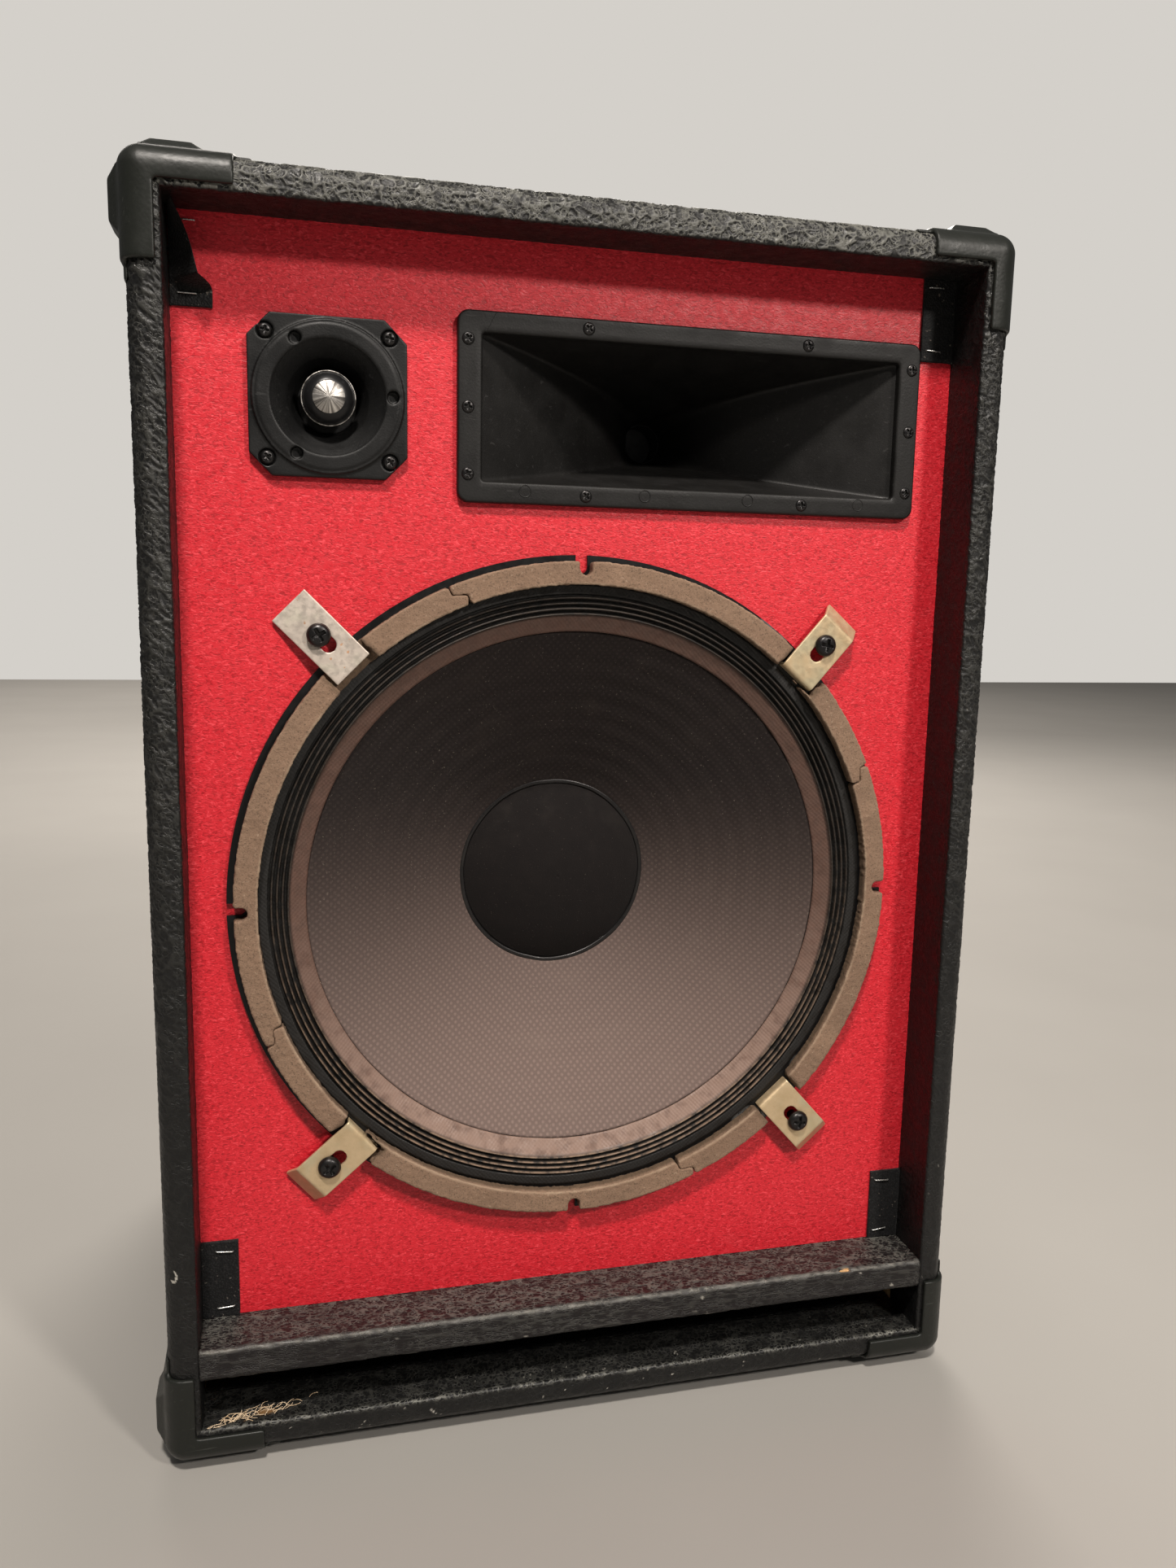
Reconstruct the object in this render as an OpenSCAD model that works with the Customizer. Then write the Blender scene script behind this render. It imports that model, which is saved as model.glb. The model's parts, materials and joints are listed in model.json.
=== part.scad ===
// PA speaker cabinet: 15 inch woofer, rectangular horn and bullet tweeter.
// X is to the right, Y to the back and Z up. The origin is on the floor, under the middle.

/* [Cabinet] */
// Width over the covering
cab_w = 468; // [460:1:480]
// Height over the covering
cab_h = 676; // [670:2:690]
// Depth over the covering
cab_d = 380; // [360:5:420]
// Plywood thickness of the box
ply = 15; // [14:1:16]
// Thickness of the vinyl covering
skin = 0.8; // [0.6:0.1:1.0]
// Rounding of the outer edges
edge_r = 9; // [6:1:10]
// Front edge to the face of the baffle
recess = 33.6; // [30:0.2:38]
// Thickness of the baffle board
baffle_t = 18; // [15:1:20]

/* [Port] */
// Height of the slot under the shelf
port_gap = 28.8; // [24:0.2:32]
// Thickness of the shelf over its covering
shelf_t = 18.4; // [17:0.2:20]
// Length of the shelf from front to back
shelf_d = 150; // [120:5:180]

/* [Corner protectors] */
// Wall of the moulding
shell_t = 3; // [2:0.5:3]
// Length of the arms from the corner
arm_l = 53; // [48:1:56]
// Width of the arms on the front edge
arm_w = 17; // [15:1:17]
// Height of the stacking pads above the covering
pad_h = 8; // [6:1:12]

/* [Woofer] */
// Sideways place of the woofer axis
woofer_x = -4; // [-6:1:2]
// Woofer axis above the covering's underside
woofer_rise = 302.7; // [300:0.1:306]
// Outer radius of the pressed frame
frame_r = 194.2; // [192:0.2:196]
// Outer radius of the gasket
gasket_r = 192.5; // [190:0.5:192.5]
// Inner radius of the gasket
gasket_in_r = 178.6; // [178.6:0.2:180]
// Thickness of the gasket
gasket_t = 8.5; // [7:0.5:9]

/* [Clamps] */
// Width of a clamp plate
clamp_w = 24; // [20:1:25]
// Radius of the ring of clamp screws
clamp_ring_r = 206.5; // [205:0.5:208]
// Free travel of a clamp along its slot
clamp_travel = 7; // [5:0.5:8]

/* [Horn] */
// Width of the horn flange
horn_w = 269.5; // [265:0.5:272]
// Height of the horn flange
horn_h = 99; // [97:1:101]
// Sideways place of the horn axis
horn_x = 61; // [56:1:62]
// Horn axis above the covering's underside
horn_rise = 572.6; // [570:0.2:574]

/* [Tweeter] */
// Side of the square tweeter flange
tweeter_w = 80.7; // [78:0.1:82]
// Sideways place of the tweeter axis
tweeter_x = -140.5; // [-142:0.5:-138]

/* [Handles] */
// Height of the handle axis above the covering's underside
handle_rise = 400; // [380:5:440]
// Length of the handle's hand hold
grip_l = 104; // [90:2:110]

/* [Hidden] */
$fn = 64;

// Room left between parts that only just touch
gap = 0.05;
wall = ply + 2 * skin;
front_y = -cab_d / 2;
rear_y = cab_d / 2;
base_z = pad_h;
top_z = base_z + cab_h;
mid_z = base_z + cab_h / 2;
open_w = cab_w - 2 * wall;
open_h = cab_h - 2 * wall;
wood_w = open_w + 2 * skin;
wood_h = open_h + 2 * skin;
baffle_y = front_y + recess;
board_y = baffle_y + skin;
shelf_top = base_z + wall + port_gap + shelf_t;
wood_top = mid_z + wood_h / 2;
floor_z = mid_z - wood_h / 2;
batten = 18;
shelf_wrap = 1.7;
rear_recess = 17;
rear_front_y = rear_y - rear_recess - ply;

// Pieces of hook tape stapled to the baffle
tab_w = 20.5;
tab_h = 46;
tab_t = 1.4;

// The screws in the stacking pads
pad_inset = 21.4;
pad_y_inset = 23;
corner_hole_r = 1.9;

woofer_z = base_z + woofer_rise;
horn_z = base_z + horn_rise;
tweeter_z = horn_z + 0.4;
flange_t = 2;
basket_r = 176.2;
cone_r = 151.9;
cap_r = 56.4;
coil_r = 32.2;
cone_slope = 0.609;
rolls = 4;
roll_in_r = 161;
roll_out_r = 173;

// Position angle and slot direction of each clamp, and whether its plate is the flat, tipped one
CLAMPS = [[134, 135, true], [45, 49, false], [226.6, 221, false], [314, 312, false]];
plate_t = 2;
plate_in = 25.5;
plate_out = 13.5;
plate_z = 7.2;
lip_out = 8.3;
clamp_screw_r = 3;
slot_r = 4.2;
clamp_tip = 8;

horn_hole_r = 1.8;
horn_holes = concat(
    [for (s = [-1, 1], z = [-34.7, 0, 34.7]) [s * 129.2, z]],
    [for (s = [-1, 1], x = [-63.9, 63.9]) [x, s * 44]]
);
tweeter_holes = [for (x = [-31.3, 31.3], z = [-31.3, 31.3]) [x, z]];

// The horn's flare and its throat
horn_deep = 104;
mouth_w = 243;
mouth_h = 76.4;
throat = 25;

handle_z = base_z + handle_rise;
dish_l = 132;
dish_h = 74;
dish_deep = 34;
dish_wall = 2.5;
dish_lip = 16;
bail_r = 5;
bail_arm = 44;
pivot_z = handle_z + dish_h / 2 - 12;
pivot_in = 8;

dish_x = 0;
dish_rise = 150;
terminal_w = 140;
terminal_h = 90;
jack_r = 6;

// The crossover on the floor of the cabinet
cross_x = -60;
cross_y = 60;
board_l = 180;
board_w = 110;
board_z = floor_z + 8;

// ---- helpers ----

// Corner points of a rectangle with rounded corners
function round_rect(w, h, r, steps = 6) = [
    for (c = [[1, 1, 0], [-1, 1, 90], [-1, -1, 180], [1, -1, 270]])
        for (i = [0 : steps])
            let (a = c[2] + 90 * i / steps)
            [c[0] * (w / 2 - r) + r * cos(a), c[1] * (h / 2 - r) + r * sin(a)]
];

module along_y(l) {
    rotate([90, 0, 0]) linear_extrude(l, center = true) children();
}

module along_x(l) {
    rotate([90, 0, 90]) linear_extrude(l, center = true) children();
}

// The cabinet's outside, grown by g, with rounded edges
module cabinet_block(g) {
    w = cab_w + 2 * g;
    d = cab_d + 2 * g;
    h = cab_h + 2 * g;
    r = edge_r + g;
    translate([0, 0, mid_z]) intersection() {
        along_y(d + 2) polygon(round_rect(w, h, r));
        along_x(w + 2) polygon(round_rect(d, h, r));
        linear_extrude(h + 2, center = true) polygon(round_rect(w, d, r));
    }
}

// A box given by its low and high corners
module span(low, high) {
    translate(low) cube(high - low);
}

// Works in the plane of the baffle: local z points out of the front
module on_baffle(x, z) {
    translate([x, baffle_y, z]) rotate([90, 0, 0]) children();
}

module on_woofer() {
    on_baffle(woofer_x, woofer_z) children();
}

// Moves children to the screw of a clamp, with local x along the slot, outward
module at_clamp(c) {
    rotate([0, 0, c[0]]) translate([clamp_ring_r, 0, 0]) rotate([0, 0, c[1] - c[0]]) children();
}

module rod(a, b, r) {
    d = b - a;
    translate(a)
        rotate([0, acos(d[2] / norm(d)), atan2(d[1], d[0])])
        cylinder(h = norm(d), r = r, $fn = 16);
}

// ---- cabinet ----

module opening() {
    translate([0, 0, mid_z]) cube([open_w, cab_d + 10, open_h], center = true);
}

module lip(y, l) {
    translate([-wood_w / 2, y, mid_z - wood_h / 2]) cube([wood_w, l, wood_h]);
}

module vinyl_covering() {
    color("#1b1c1b") difference() {
        union() {
            difference() {
                cabinet_block(0);
                cabinet_block(-skin);
            }
            lip(front_y + skin / 2, recess + skin / 2);
            lip(rear_y - rear_recess, rear_recess - skin / 2);
        }
        opening();
        corner_screw_holes(corner_hole_r);
        handle_cutouts();
    }
}

// One plywood panel: the part of the box between two corners
module wood_panel(low, high) {
    difference() {
        intersection() {
            cabinet_block(-skin);
            span(low, high);
        }
        corner_screw_holes(corner_hole_r);
        handle_cutouts();
    }
}

module top_panel() {
    color("burlywood") wood_panel([-cab_w, -cab_d, wood_top], [cab_w, cab_d, top_z + 1]);
}

module bottom_panel() {
    color("burlywood") wood_panel([-cab_w, -cab_d, 0], [cab_w, cab_d, floor_z]);
}

module left_panel() {
    color("tan") wood_panel([-cab_w, -cab_d, floor_z], [-wood_w / 2, cab_d, wood_top]);
}

module right_panel() {
    color("tan") wood_panel([wood_w / 2, -cab_d, floor_z], [cab_w, cab_d, wood_top]);
}

module rear_panel() {
    color("#232323") difference() {
        span([-open_w / 2, rear_front_y, base_z + wall], [open_w / 2, rear_y - rear_recess, top_z - wall]);
        rear_screw_places() cylinder(h = 60, r = 2.1, center = true);
        terminal_cutout();
        terminal_screw_places() cylinder(h = 60, r = 1.6, center = true);
    }
}

module woofer_cut(l) {
    on_woofer() cylinder(h = l, r = basket_r + 0.8, center = true);
}

// Every hole that passes the baffle
module baffle_holes() {
    woofer_cut(60);
    on_woofer() for (c = CLAMPS) at_clamp(c) cylinder(h = 50, r = clamp_screw_r + gap, center = true);
    on_baffle(horn_x, horn_z) {
        cube([251, 82.6, 60], center = true);
        for (p = horn_holes) translate(p) cylinder(h = 36, r = horn_hole_r, center = true);
    }
    on_baffle(tweeter_x, tweeter_z) {
        cylinder(h = 60, r = 33, center = true);
        for (p = tweeter_holes) translate(p) cylinder(h = 36, r = 1.8, center = true);
    }
}

module baffle_board() {
    color("tan") difference() {
        span([-wood_w / 2, board_y, shelf_top], [wood_w / 2, board_y + baffle_t, wood_top]);
        baffle_holes();
    }
}

module baffle_facing() {
    color("#d9142a") difference() {
        span([-open_w / 2, baffle_y, shelf_top], [open_w / 2, board_y, top_z - wall]);
        baffle_holes();
    }
}

module shelf_block(inset) {
    low = base_z + wall + port_gap + inset;
    high = shelf_top - inset;
    span([gap - open_w / 2, front_y + inset, low], [open_w / 2 - gap, front_y + shelf_d, high]);
}

module port_shelf() {
    color("tan") shelf_block(shelf_wrap);
}

module shelf_covering() {
    color("#1b1c1b") difference() {
        shelf_block(0);
        shelf_block(shelf_wrap);
    }
}

// Strips that carry the baffle and the rear panel
module batten_ring(y, low) {
    difference() {
        span([-wood_w / 2, y, low], [wood_w / 2, y + batten, wood_top]);
        span([-wood_w / 2 + batten, y - 1, low + batten],
            [wood_w / 2 - batten, y + batten + 1, wood_top - batten]);
    }
}

module battens() {
    color("wheat") difference() {
        union() {
            batten_ring(board_y + baffle_t, shelf_top);
            batten_ring(rear_front_y - batten, floor_z);
        }
        woofer_cut(cab_d);
        rear_screw_places() cylinder(h = 60, r = 1.8, center = true);
    }
}

// ---- corner protectors ----

// A raised pad with sloping sides, in the plane z = 0
module pad_block(size, top, h) {
    low = size / 2;
    profile = [
        [-low, 0], [low, 0], [low - 2, h * 0.3], [top / 2, h], [-top / 2, h], [2 - low, h * 0.3]
    ];
    intersection() {
        rotate([90, 0, 0]) linear_extrude(size, center = true) polygon(profile);
        rotate([90, 0, 90]) linear_extrude(size, center = true) polygon(profile);
    }
}

// Local frame of the pad on the side (turn = 90) or on the end (turn = 0) of one corner
module on_pad(sx, sy, sz, side) {
    y = sy * (cab_d / 2 - pad_y_inset);
    if (side) {
        translate([sx * cab_w / 2, y, mid_z + sz * (cab_h / 2 - pad_inset)])
            rotate([0, sx * 90, 0]) children();
    } else {
        translate([sx * (cab_w / 2 - pad_inset), y, mid_z + sz * cab_h / 2])
            rotate([0, sz > 0 ? 0 : 180, 0]) children();
    }
}

module corner_screw_holes(r) {
    for (sx = [-1, 1], sy = [-1, 1], sz = [-1, 1], side = [true, false])
        on_pad(sx, sy, sz, side) translate([0, 0, -13]) cylinder(h = 30, r = r, $fn = 24);
}

// Box that reaches from the corner inwards by x, y and z
module corner_zone(sx, sy, sz, x, y, z) {
    big = 20;
    translate([sx * (cab_w / 2 + big), sy * (cab_d / 2 + big), mid_z + sz * (cab_h / 2 + big)])
        translate([-sx * (x + big) / 2, -sy * (y + big) / 2, -sz * (z + big) / 2])
        cube([x + big, y + big, z + big], center = true);
}

module corner_protector(sx, sy, sz) {
    plate_l = arm_l + 9;
    color("#2c2d2e") difference() {
        union() {
            difference() {
                intersection() {
                    cabinet_block(shell_t);
                    corner_zone(sx, sy, sz, arm_l - shell_t, plate_l, arm_l - shell_t);
                }
                cabinet_block(0);
            }
            difference() {
                intersection() {
                    cabinet_block(shell_t / 2);
                    corner_zone(sx, sy, sz, plate_l - shell_t, plate_l + 6, plate_l - shell_t);
                }
                cabinet_block(0);
                front_band(sy);
            }
            for (side = [true, false]) on_pad(sx, sy, sz, side)
                translate([0, 0, shell_t / 2]) pad_block(34, 19, pad_h - shell_t / 2);
        }
        arm_opening(sy);
        for (side = [true, false]) on_pad(sx, sy, sz, side) {
            translate([0, 0, -5]) cylinder(h = 30, r = 2.2, $fn = 24);
            translate([0, 0, pad_h - 4]) cylinder(h = 10, r = 4.6, $fn = 32);
        }
    }
}

// Space beside the arms' ends that the thin outer skirt stays out of
module front_band(sy) {
    translate([0, sy * (cab_d / 2 + 6), mid_z]) cube([2 * cab_w, 20, 2 * cab_h], center = true);
}

// The open space inside the arms on the front or rear edge
module arm_opening(sy) {
    inner = arm_w - shell_t;
    translate([0, sy * cab_d / 2, mid_z]) cube([cab_w - 2 * inner, 60, cab_h - 2 * inner], center = true);
}

module corner_front_top_left() {
    corner_protector(-1, -1, 1);
}

module corner_front_top_right() {
    corner_protector(1, -1, 1);
}

module corner_front_bottom_left() {
    corner_protector(-1, -1, -1);
}

module corner_front_bottom_right() {
    corner_protector(1, -1, -1);
}

module corner_rear_top_left() {
    corner_protector(-1, 1, 1);
}

module corner_rear_top_right() {
    corner_protector(1, 1, 1);
}

module corner_rear_bottom_left() {
    corner_protector(-1, 1, -1);
}

module corner_rear_bottom_right() {
    corner_protector(1, 1, -1);
}

// A screw with its head's underside at z = 0 and a cross recess in its head
module screw(r, l, head_r, head_h) {
    difference() {
        union() {
            translate([0, 0, -l]) cylinder(h = l + head_h / 2, r = r, $fn = 24);
            cylinder(h = head_h * 0.45, r = head_r, $fn = 32);
            translate([0, 0, head_h * 0.45 - 0.01])
                cylinder(h = head_h * 0.55, r1 = head_r, r2 = head_r * 0.62, $fn = 32);
        }
        for (a = [0, 90]) rotate([0, 0, a])
            translate([0, 0, head_h]) cube([head_r * 1.1, head_r * 0.26, head_h * 0.9], center = true);
    }
}

module corner_screws() {
    color("silver")
        for (sx = [-1, 1], sy = [-1, 1], sz = [-1, 1], side = [true, false])
            on_pad(sx, sy, sz, side) translate([0, 0, pad_h - 4]) screw(corner_hole_r - gap, 16, 4, 2.4);
}

// ---- hook tape tabs and staples ----

module hook_tab(s, z) {
    span([s * open_w / 2 - (s > 0 ? tab_w : 0), baffle_y - tab_t, z],
        [s * open_w / 2 + (s > 0 ? 0 : tab_w), baffle_y, z + tab_h]);
}

module hook_tabs() {
    color("#101112") {
        for (s = [-1, 1]) {
            hook_tab(s, shelf_top);
            hook_tab(s, top_z - wall - tab_h);
        }
    }
}

// One staple with its crown lying on the tab
module staple(x, z) {
    w = 10;
    r = 0.35;
    translate([x, baffle_y - tab_t, z]) {
        translate([0, -r, 0]) cube([w, 2 * r, 2 * r], center = true);
        for (s = [-1, 1]) translate([s * (w / 2 - r), 2.5 - r, 0]) cube([2 * r, 5.6, 2 * r], center = true);
    }
}

module staples() {
    color("silver") for (s = [-1, 1]) {
        for (z = [shelf_top + 6, shelf_top + 40, top_z - wall - 5, top_z - wall - 40])
            staple(s * (open_w / 2 - 13), z);
    }
}

// ---- woofer ----

module woofer_frame() {
    profile = [
        [frame_r, flange_t], [frame_r, 0], [basket_r, 0], [171, -16], [110, -84], [84, -84],
        [84, -95], [42, -95], [42, -93], [82, -93], [82, -82], [109, -82], [169.3, -15.2], [174.2, flange_t]
    ];
    color("#26282a") on_woofer() difference() {
        rotate_extrude($fn = 128) polygon(profile);
        for (i = [0 : 5]) rotate([0, 0, 60 * i + 30]) translate([112, -50, -78]) cube([70, 100, 52]);
        frame_notches();
        for (i = [0 : 3]) rotate([0, 0, 90 * i + 22])
            translate([frame_r - 8, 0, 0]) cylinder(h = 10, r = 3.2, center = true);
    }
}

// Bolt notches at the four quarters, through flange and gasket
module frame_notches() {
    for (i = [0 : 3]) rotate([0, 0, 90 * i]) {
        translate([187.5, 0, 0]) cylinder(h = 40, r = 3.4, center = true);
        translate([187.5, -3.4, -20]) cube([20, 6.8, 40]);
    }
}

module woofer_gasket() {
    color("#8a7a66") on_woofer() difference() {
        translate([0, 0, flange_t]) difference() {
            cylinder(h = gasket_t, r = gasket_r, $fn = 128);
            translate([0, 0, -1]) cylinder(h = gasket_t + 2, r = gasket_in_r, $fn = 128);
        }
        frame_notches();
        for (i = [0 : 3]) rotate([0, 0, 90 * i + 22.2]) gasket_joint();
        for (c = CLAMPS) at_clamp(c) gasket_pocket(c[2]);
    }
}

// Room cut in the gasket for a clamp; under the tipped plate a crushed layer is left
module gasket_pocket(tipped) {
    translate([-plate_in - (tipped ? 8 : 1), -clamp_w / 2 - 1.5, tipped ? 5 : 0]) cube([60, clamp_w + 3, 30]);
}

// Stepped cut between two gasket segments
module gasket_joint() {
    cut = 0.5;
    mid_r = (gasket_r + gasket_in_r) / 2;
    translate([mid_r, 4, 0]) cube([20, cut, 40]);
    translate([mid_r, -4, 0]) cube([cut, 8 + cut, 40]);
    translate([mid_r - 20 + cut, -4, 0]) cube([20, cut, 40]);
}

// Height of the surround at radius r
function roll_z(r) = r < roll_in_r
    ? 0.6 - 4.6 * (roll_in_r - r) / (roll_in_r - cone_r)
    : 0.6 + 1.4 * (r - roll_in_r) / (roll_out_r - roll_in_r)
        + 1.5 * sin(360 * rolls * (r - roll_in_r) / (roll_out_r - roll_in_r));

module woofer_surround() {
    t = 0.7;
    steps = 48;
    in_r = cone_r + 0.1;
    radii = [for (i = [0 : steps]) in_r + (roll_out_r - in_r) * i / steps];
    upper = [for (r = radii) [r, roll_z(r) + t]];
    lower = [for (i = [steps : -1 : 0]) [radii[i], roll_z(radii[i])]];
    rim = [[gasket_in_r - 0.1, flange_t + t + gap], [gasket_in_r - 0.1, flange_t + gap]];
    color("#171616") on_woofer() rotate_extrude($fn = 128) polygon(concat(upper, rim, lower));
}

function cone_z(r) = -4 - (cone_r - r) * cone_slope;

module woofer_cone() {
    t = 1.1;
    neck = coil_r + gap;
    color("#2f2d2b") on_woofer() rotate_extrude($fn = 128) polygon([
        [cone_r, cone_z(cone_r)], [cone_r, cone_z(cone_r) - t], [neck, cone_z(neck) - t], [neck, cone_z(neck)]
    ]);
}

module dust_cap() {
    rise = 17;
    t = 1;
    ball_r = (pow(cap_r, 2) + pow(rise, 2)) / (2 * rise);
    apex = cone_z(cap_r) + rise + 0.3;
    reach = asin(cap_r / ball_r);
    steps = 16;
    outer = [for (i = [0 : steps]) let (a = reach * i / steps)
        [ball_r * sin(a), apex - ball_r + ball_r * cos(a)]];
    inner = [for (i = [steps : -1 : 0]) let (a = reach * i / steps)
        [(ball_r - t) * sin(a), apex - ball_r + (ball_r - t) * cos(a) + (i == steps ? 0.2 : 0)]];
    color("#141414") on_woofer() rotate_extrude($fn = 128) polygon(concat(outer, inner));
}

module voice_coil() {
    color("#b5703c") on_woofer() rotate_extrude() polygon([
        [coil_r - 0.8, -72], [coil_r, -72], [coil_r, -96], [coil_r + 0.9, -96], [coil_r + 0.9, -108],
        [coil_r, -108], [coil_r, -112], [coil_r - 0.8, -112]
    ]);
}

// Corrugated suspension behind the cone
module spider() {
    t = 0.8;
    steps = 40;
    in_r = coil_r + gap;
    out_r = 92;
    radii = [for (i = [0 : steps]) in_r + (out_r - in_r) * i / steps];
    function wave(r) = -81.9 + 1.4 * (1 - cos(360 * 7 * (r - in_r) / (out_r - in_r)));
    color("#c9a45c") on_woofer() rotate_extrude() polygon(concat(
        [for (r = radii) [r, wave(r) + t]],
        [for (i = [steps : -1 : 0]) [radii[i], wave(radii[i])]]
    ));
}

module ring(r, in_r, z, h) {
    difference() {
        translate([0, 0, z]) cylinder(h = h, r = r);
        translate([0, 0, z - 1]) cylinder(h = h + 2, r = in_r);
    }
}

module front_plate() {
    color("#6c6f72") on_woofer() ring(78, 34.4, -103, 8);
}

module ring_magnet() {
    color("#2a2a2c") on_woofer() ring(84, 46, -123, 20);
}

module pole_plate() {
    color("#6c6f72") on_woofer() difference() {
        union() {
            translate([0, 0, -132]) cylinder(h = 9, r = 78);
            translate([0, 0, -124]) cylinder(h = 29, r = 30.6);
        }
        cylinder(h = 400, r = 10, center = true);
    }
}

// ---- woofer clamps ----

// Height of the underside of a tipped plate at its screw
function tipped_lift() = 0.3 + (plate_out + lip_out) * sin(clamp_tip);

// Slot for the screw, with a margin round its travel
module clamp_slot() {
    reach = clamp_travel + 0.4;
    for (x = [0, -reach]) translate([x, 0, 0]) cylinder(h = 40, r = slot_r, center = true);
    translate([-reach / 2, 0, 0]) cube([reach, 2 * slot_r - 0.04, 40], center = true);
}

// Flat plate with its outer end down on the baffle
module tipped_plate() {
    translate([0, 0, tipped_lift()]) rotate([0, clamp_tip, 0])
        translate([-plate_in, -clamp_w / 2, 0]) cube([plate_in + plate_out + lip_out, clamp_w, plate_t]);
}

// Level plate with a sloping lip down to the baffle and a toe down to the frame
module bent_plate() {
    top = plate_z + plate_t;
    toe = flange_t + gap;
    rotate([90, 0, 0]) linear_extrude(clamp_w, center = true) polygon([
        [-plate_in, toe], [plate_t - plate_in, toe], [plate_t - plate_in, plate_z], [plate_out - 1, plate_z],
        [plate_out + lip_out - 2, 0.2], [plate_out + lip_out, 1], [plate_out, top], [-plate_in, top]
    ]);
}

// Slotted plate, local x outward along the slot, screw at the origin
module clamp_plate(tipped) {
    difference() {
        if (tipped) tipped_plate(); else bent_plate();
        clamp_slot();
    }
}

module clamp_at(i) {
    on_woofer() at_clamp(CLAMPS[i]) clamp_plate(CLAMPS[i][2]);
}

module clamp_top_left() {
    color("#b9b3ab") clamp_at(0);
}

module clamp_top_right() {
    color("#c3b488") clamp_at(1);
}

module clamp_bottom_left() {
    color("#c3b488") clamp_at(2);
}

module clamp_bottom_right() {
    color("#c3b488") clamp_at(3);
}

module clamp_screws() {
    color("#1a1a1b") on_woofer() for (c = CLAMPS) {
        head_z = plate_t + (c[2] ? tipped_lift() + 1.3 : plate_z + gap);
        at_clamp(c) translate([0, 0, head_z]) screw(clamp_screw_r, head_z + 17, 6.4, 4.2);
    }
}

// ---- tweeter ----

module tweeter_housing() {
    cut = 11.5;
    half = tweeter_w / 2;
    corners = [
        [half, half - cut], [half - cut, half], [cut - half, half], [-half, half - cut],
        [-half, cut - half], [cut - half, -half], [half - cut, -half], [half, cut - half]
    ];
    color("#1d1e20") on_baffle(tweeter_x, tweeter_z) difference() {
        union() {
            linear_extrude(4) polygon(corners);
            translate([0, 0, 3.9]) cylinder(h = 1.6, r = 38.4);
            translate([0, 0, -22]) cylinder(h = 23, r = 32.6);
        }
        rotate_extrude() polygon([
            [0, 8], [29.5, 8], [29.5, 5], [26, 1.5], [21, -4], [17.5, -10], [16.2, -16], [16.2, -18], [0, -18]
        ]);
        for (p = tweeter_holes) translate(p) {
            cylinder(h = 30, r = 2, center = true);
            translate([0, 0, 2.2]) cylinder(h = 10, r = 4.4);
        }
        for (a = [3, 120, 240]) rotate([0, 0, a]) translate([33, 0, 2]) cylinder(h = 10, r = 3.2);
        translate([0, 0, -30]) cylinder(h = 20, r = 3);
    }
}

module tweeter_bullet() {
    color("silver") on_baffle(tweeter_x, tweeter_z) rotate_extrude() polygon([
        [0, -18], [3, -18], [9, -15.5], [13, -8], [14.2, -2], [14, 1], [12.5, 3.5], [9.4, 6], [0, 9]
    ]);
}

module tweeter_motor() {
    color("#2a2a2c") on_baffle(tweeter_x, tweeter_z) {
        translate([0, 0, -36]) cylinder(h = 14, r = 31);
        translate([0, 0, -42]) cylinder(h = 6, r = 26);
    }
}

module tweeter_screws() {
    color("#1a1a1b") on_baffle(tweeter_x, tweeter_z) for (p = tweeter_holes)
        translate([p[0], p[1], 2.2]) screw(1.75, 18, 3.7, 2.6);
}

// ---- horn ----

// Half of the opening's width at depth d
function flare_w(d) = throat / 2 + (mouth_w - throat) / 2 * pow(1 - d / horn_deep, 1.7);
function flare_h(d) = throat / 2 + (mouth_h - throat) / 2 * pow(1 - d / horn_deep, 1.15);

// Closed outline of the flare, grown by g, from depth 0 to its end
module flare_outline(wide, g) {
    steps = 10;
    depths = [for (i = [0 : steps]) horn_deep * i / steps];
    side = [for (d = depths) [(wide ? flare_w(d) : flare_h(d)) + g, -d]];
    polygon(concat(side, [for (i = [steps : -1 : 0]) [-side[i][0], side[i][1]]]));
}

module flare_block(g) {
    intersection() {
        rotate([90, 0, 0]) linear_extrude(200, center = true) flare_outline(true, g);
        rotate([90, 0, 90]) linear_extrude(400, center = true) flare_outline(false, g);
    }
}

module horn() {
    color("#161718") on_baffle(horn_x, horn_z) difference() {
        union() {
            linear_extrude(4.5) polygon(round_rect(horn_w, horn_h, 4));
            flare_block(2.2);
            translate([0, 0, -horn_deep - 6]) cylinder(h = 8, r = 33);
        }
        flare_block(0);
        translate([0, 0, -0.5]) linear_extrude(10) square([mouth_w, mouth_h], center = true);
        translate([0, 0, -horn_deep - 10]) cylinder(h = 12, r = 12);
        for (p = horn_holes) translate(p) {
            cylinder(h = 20, r = 2, center = true);
            translate([0, 0, 3.4]) cylinder(h = 5, r = 3.9);
        }
    }
}

module horn_driver() {
    color("#3a3c3f") on_baffle(horn_x, horn_z) translate([0, 0, -horn_deep - 6]) difference() {
        union() {
            translate([0, 0, -8]) cylinder(h = 8, r = 40);
            translate([0, 0, -30]) cylinder(h = 22, r = 46);
            translate([0, 0, -36]) cylinder(h = 6, r = 40);
        }
        translate([0, 0, -20]) cylinder(h = 30, r = 12);
    }
}

module horn_driver_cap() {
    color("#222325") on_baffle(horn_x, horn_z) translate([0, 0, -horn_deep - 42]) {
        translate([0, 0, -8]) cylinder(h = 8, r = 36);
        translate([0, 0, -14]) cylinder(h = 6, r1 = 26, r2 = 36);
    }
}

module horn_screws() {
    color("#1a1a1b") on_baffle(horn_x, horn_z) for (p = horn_holes)
        translate([p[0], p[1], 3.4]) screw(1.75, 19, 3.6, 2.4);
}

// ---- crossover, wiring and wadding ----

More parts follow.
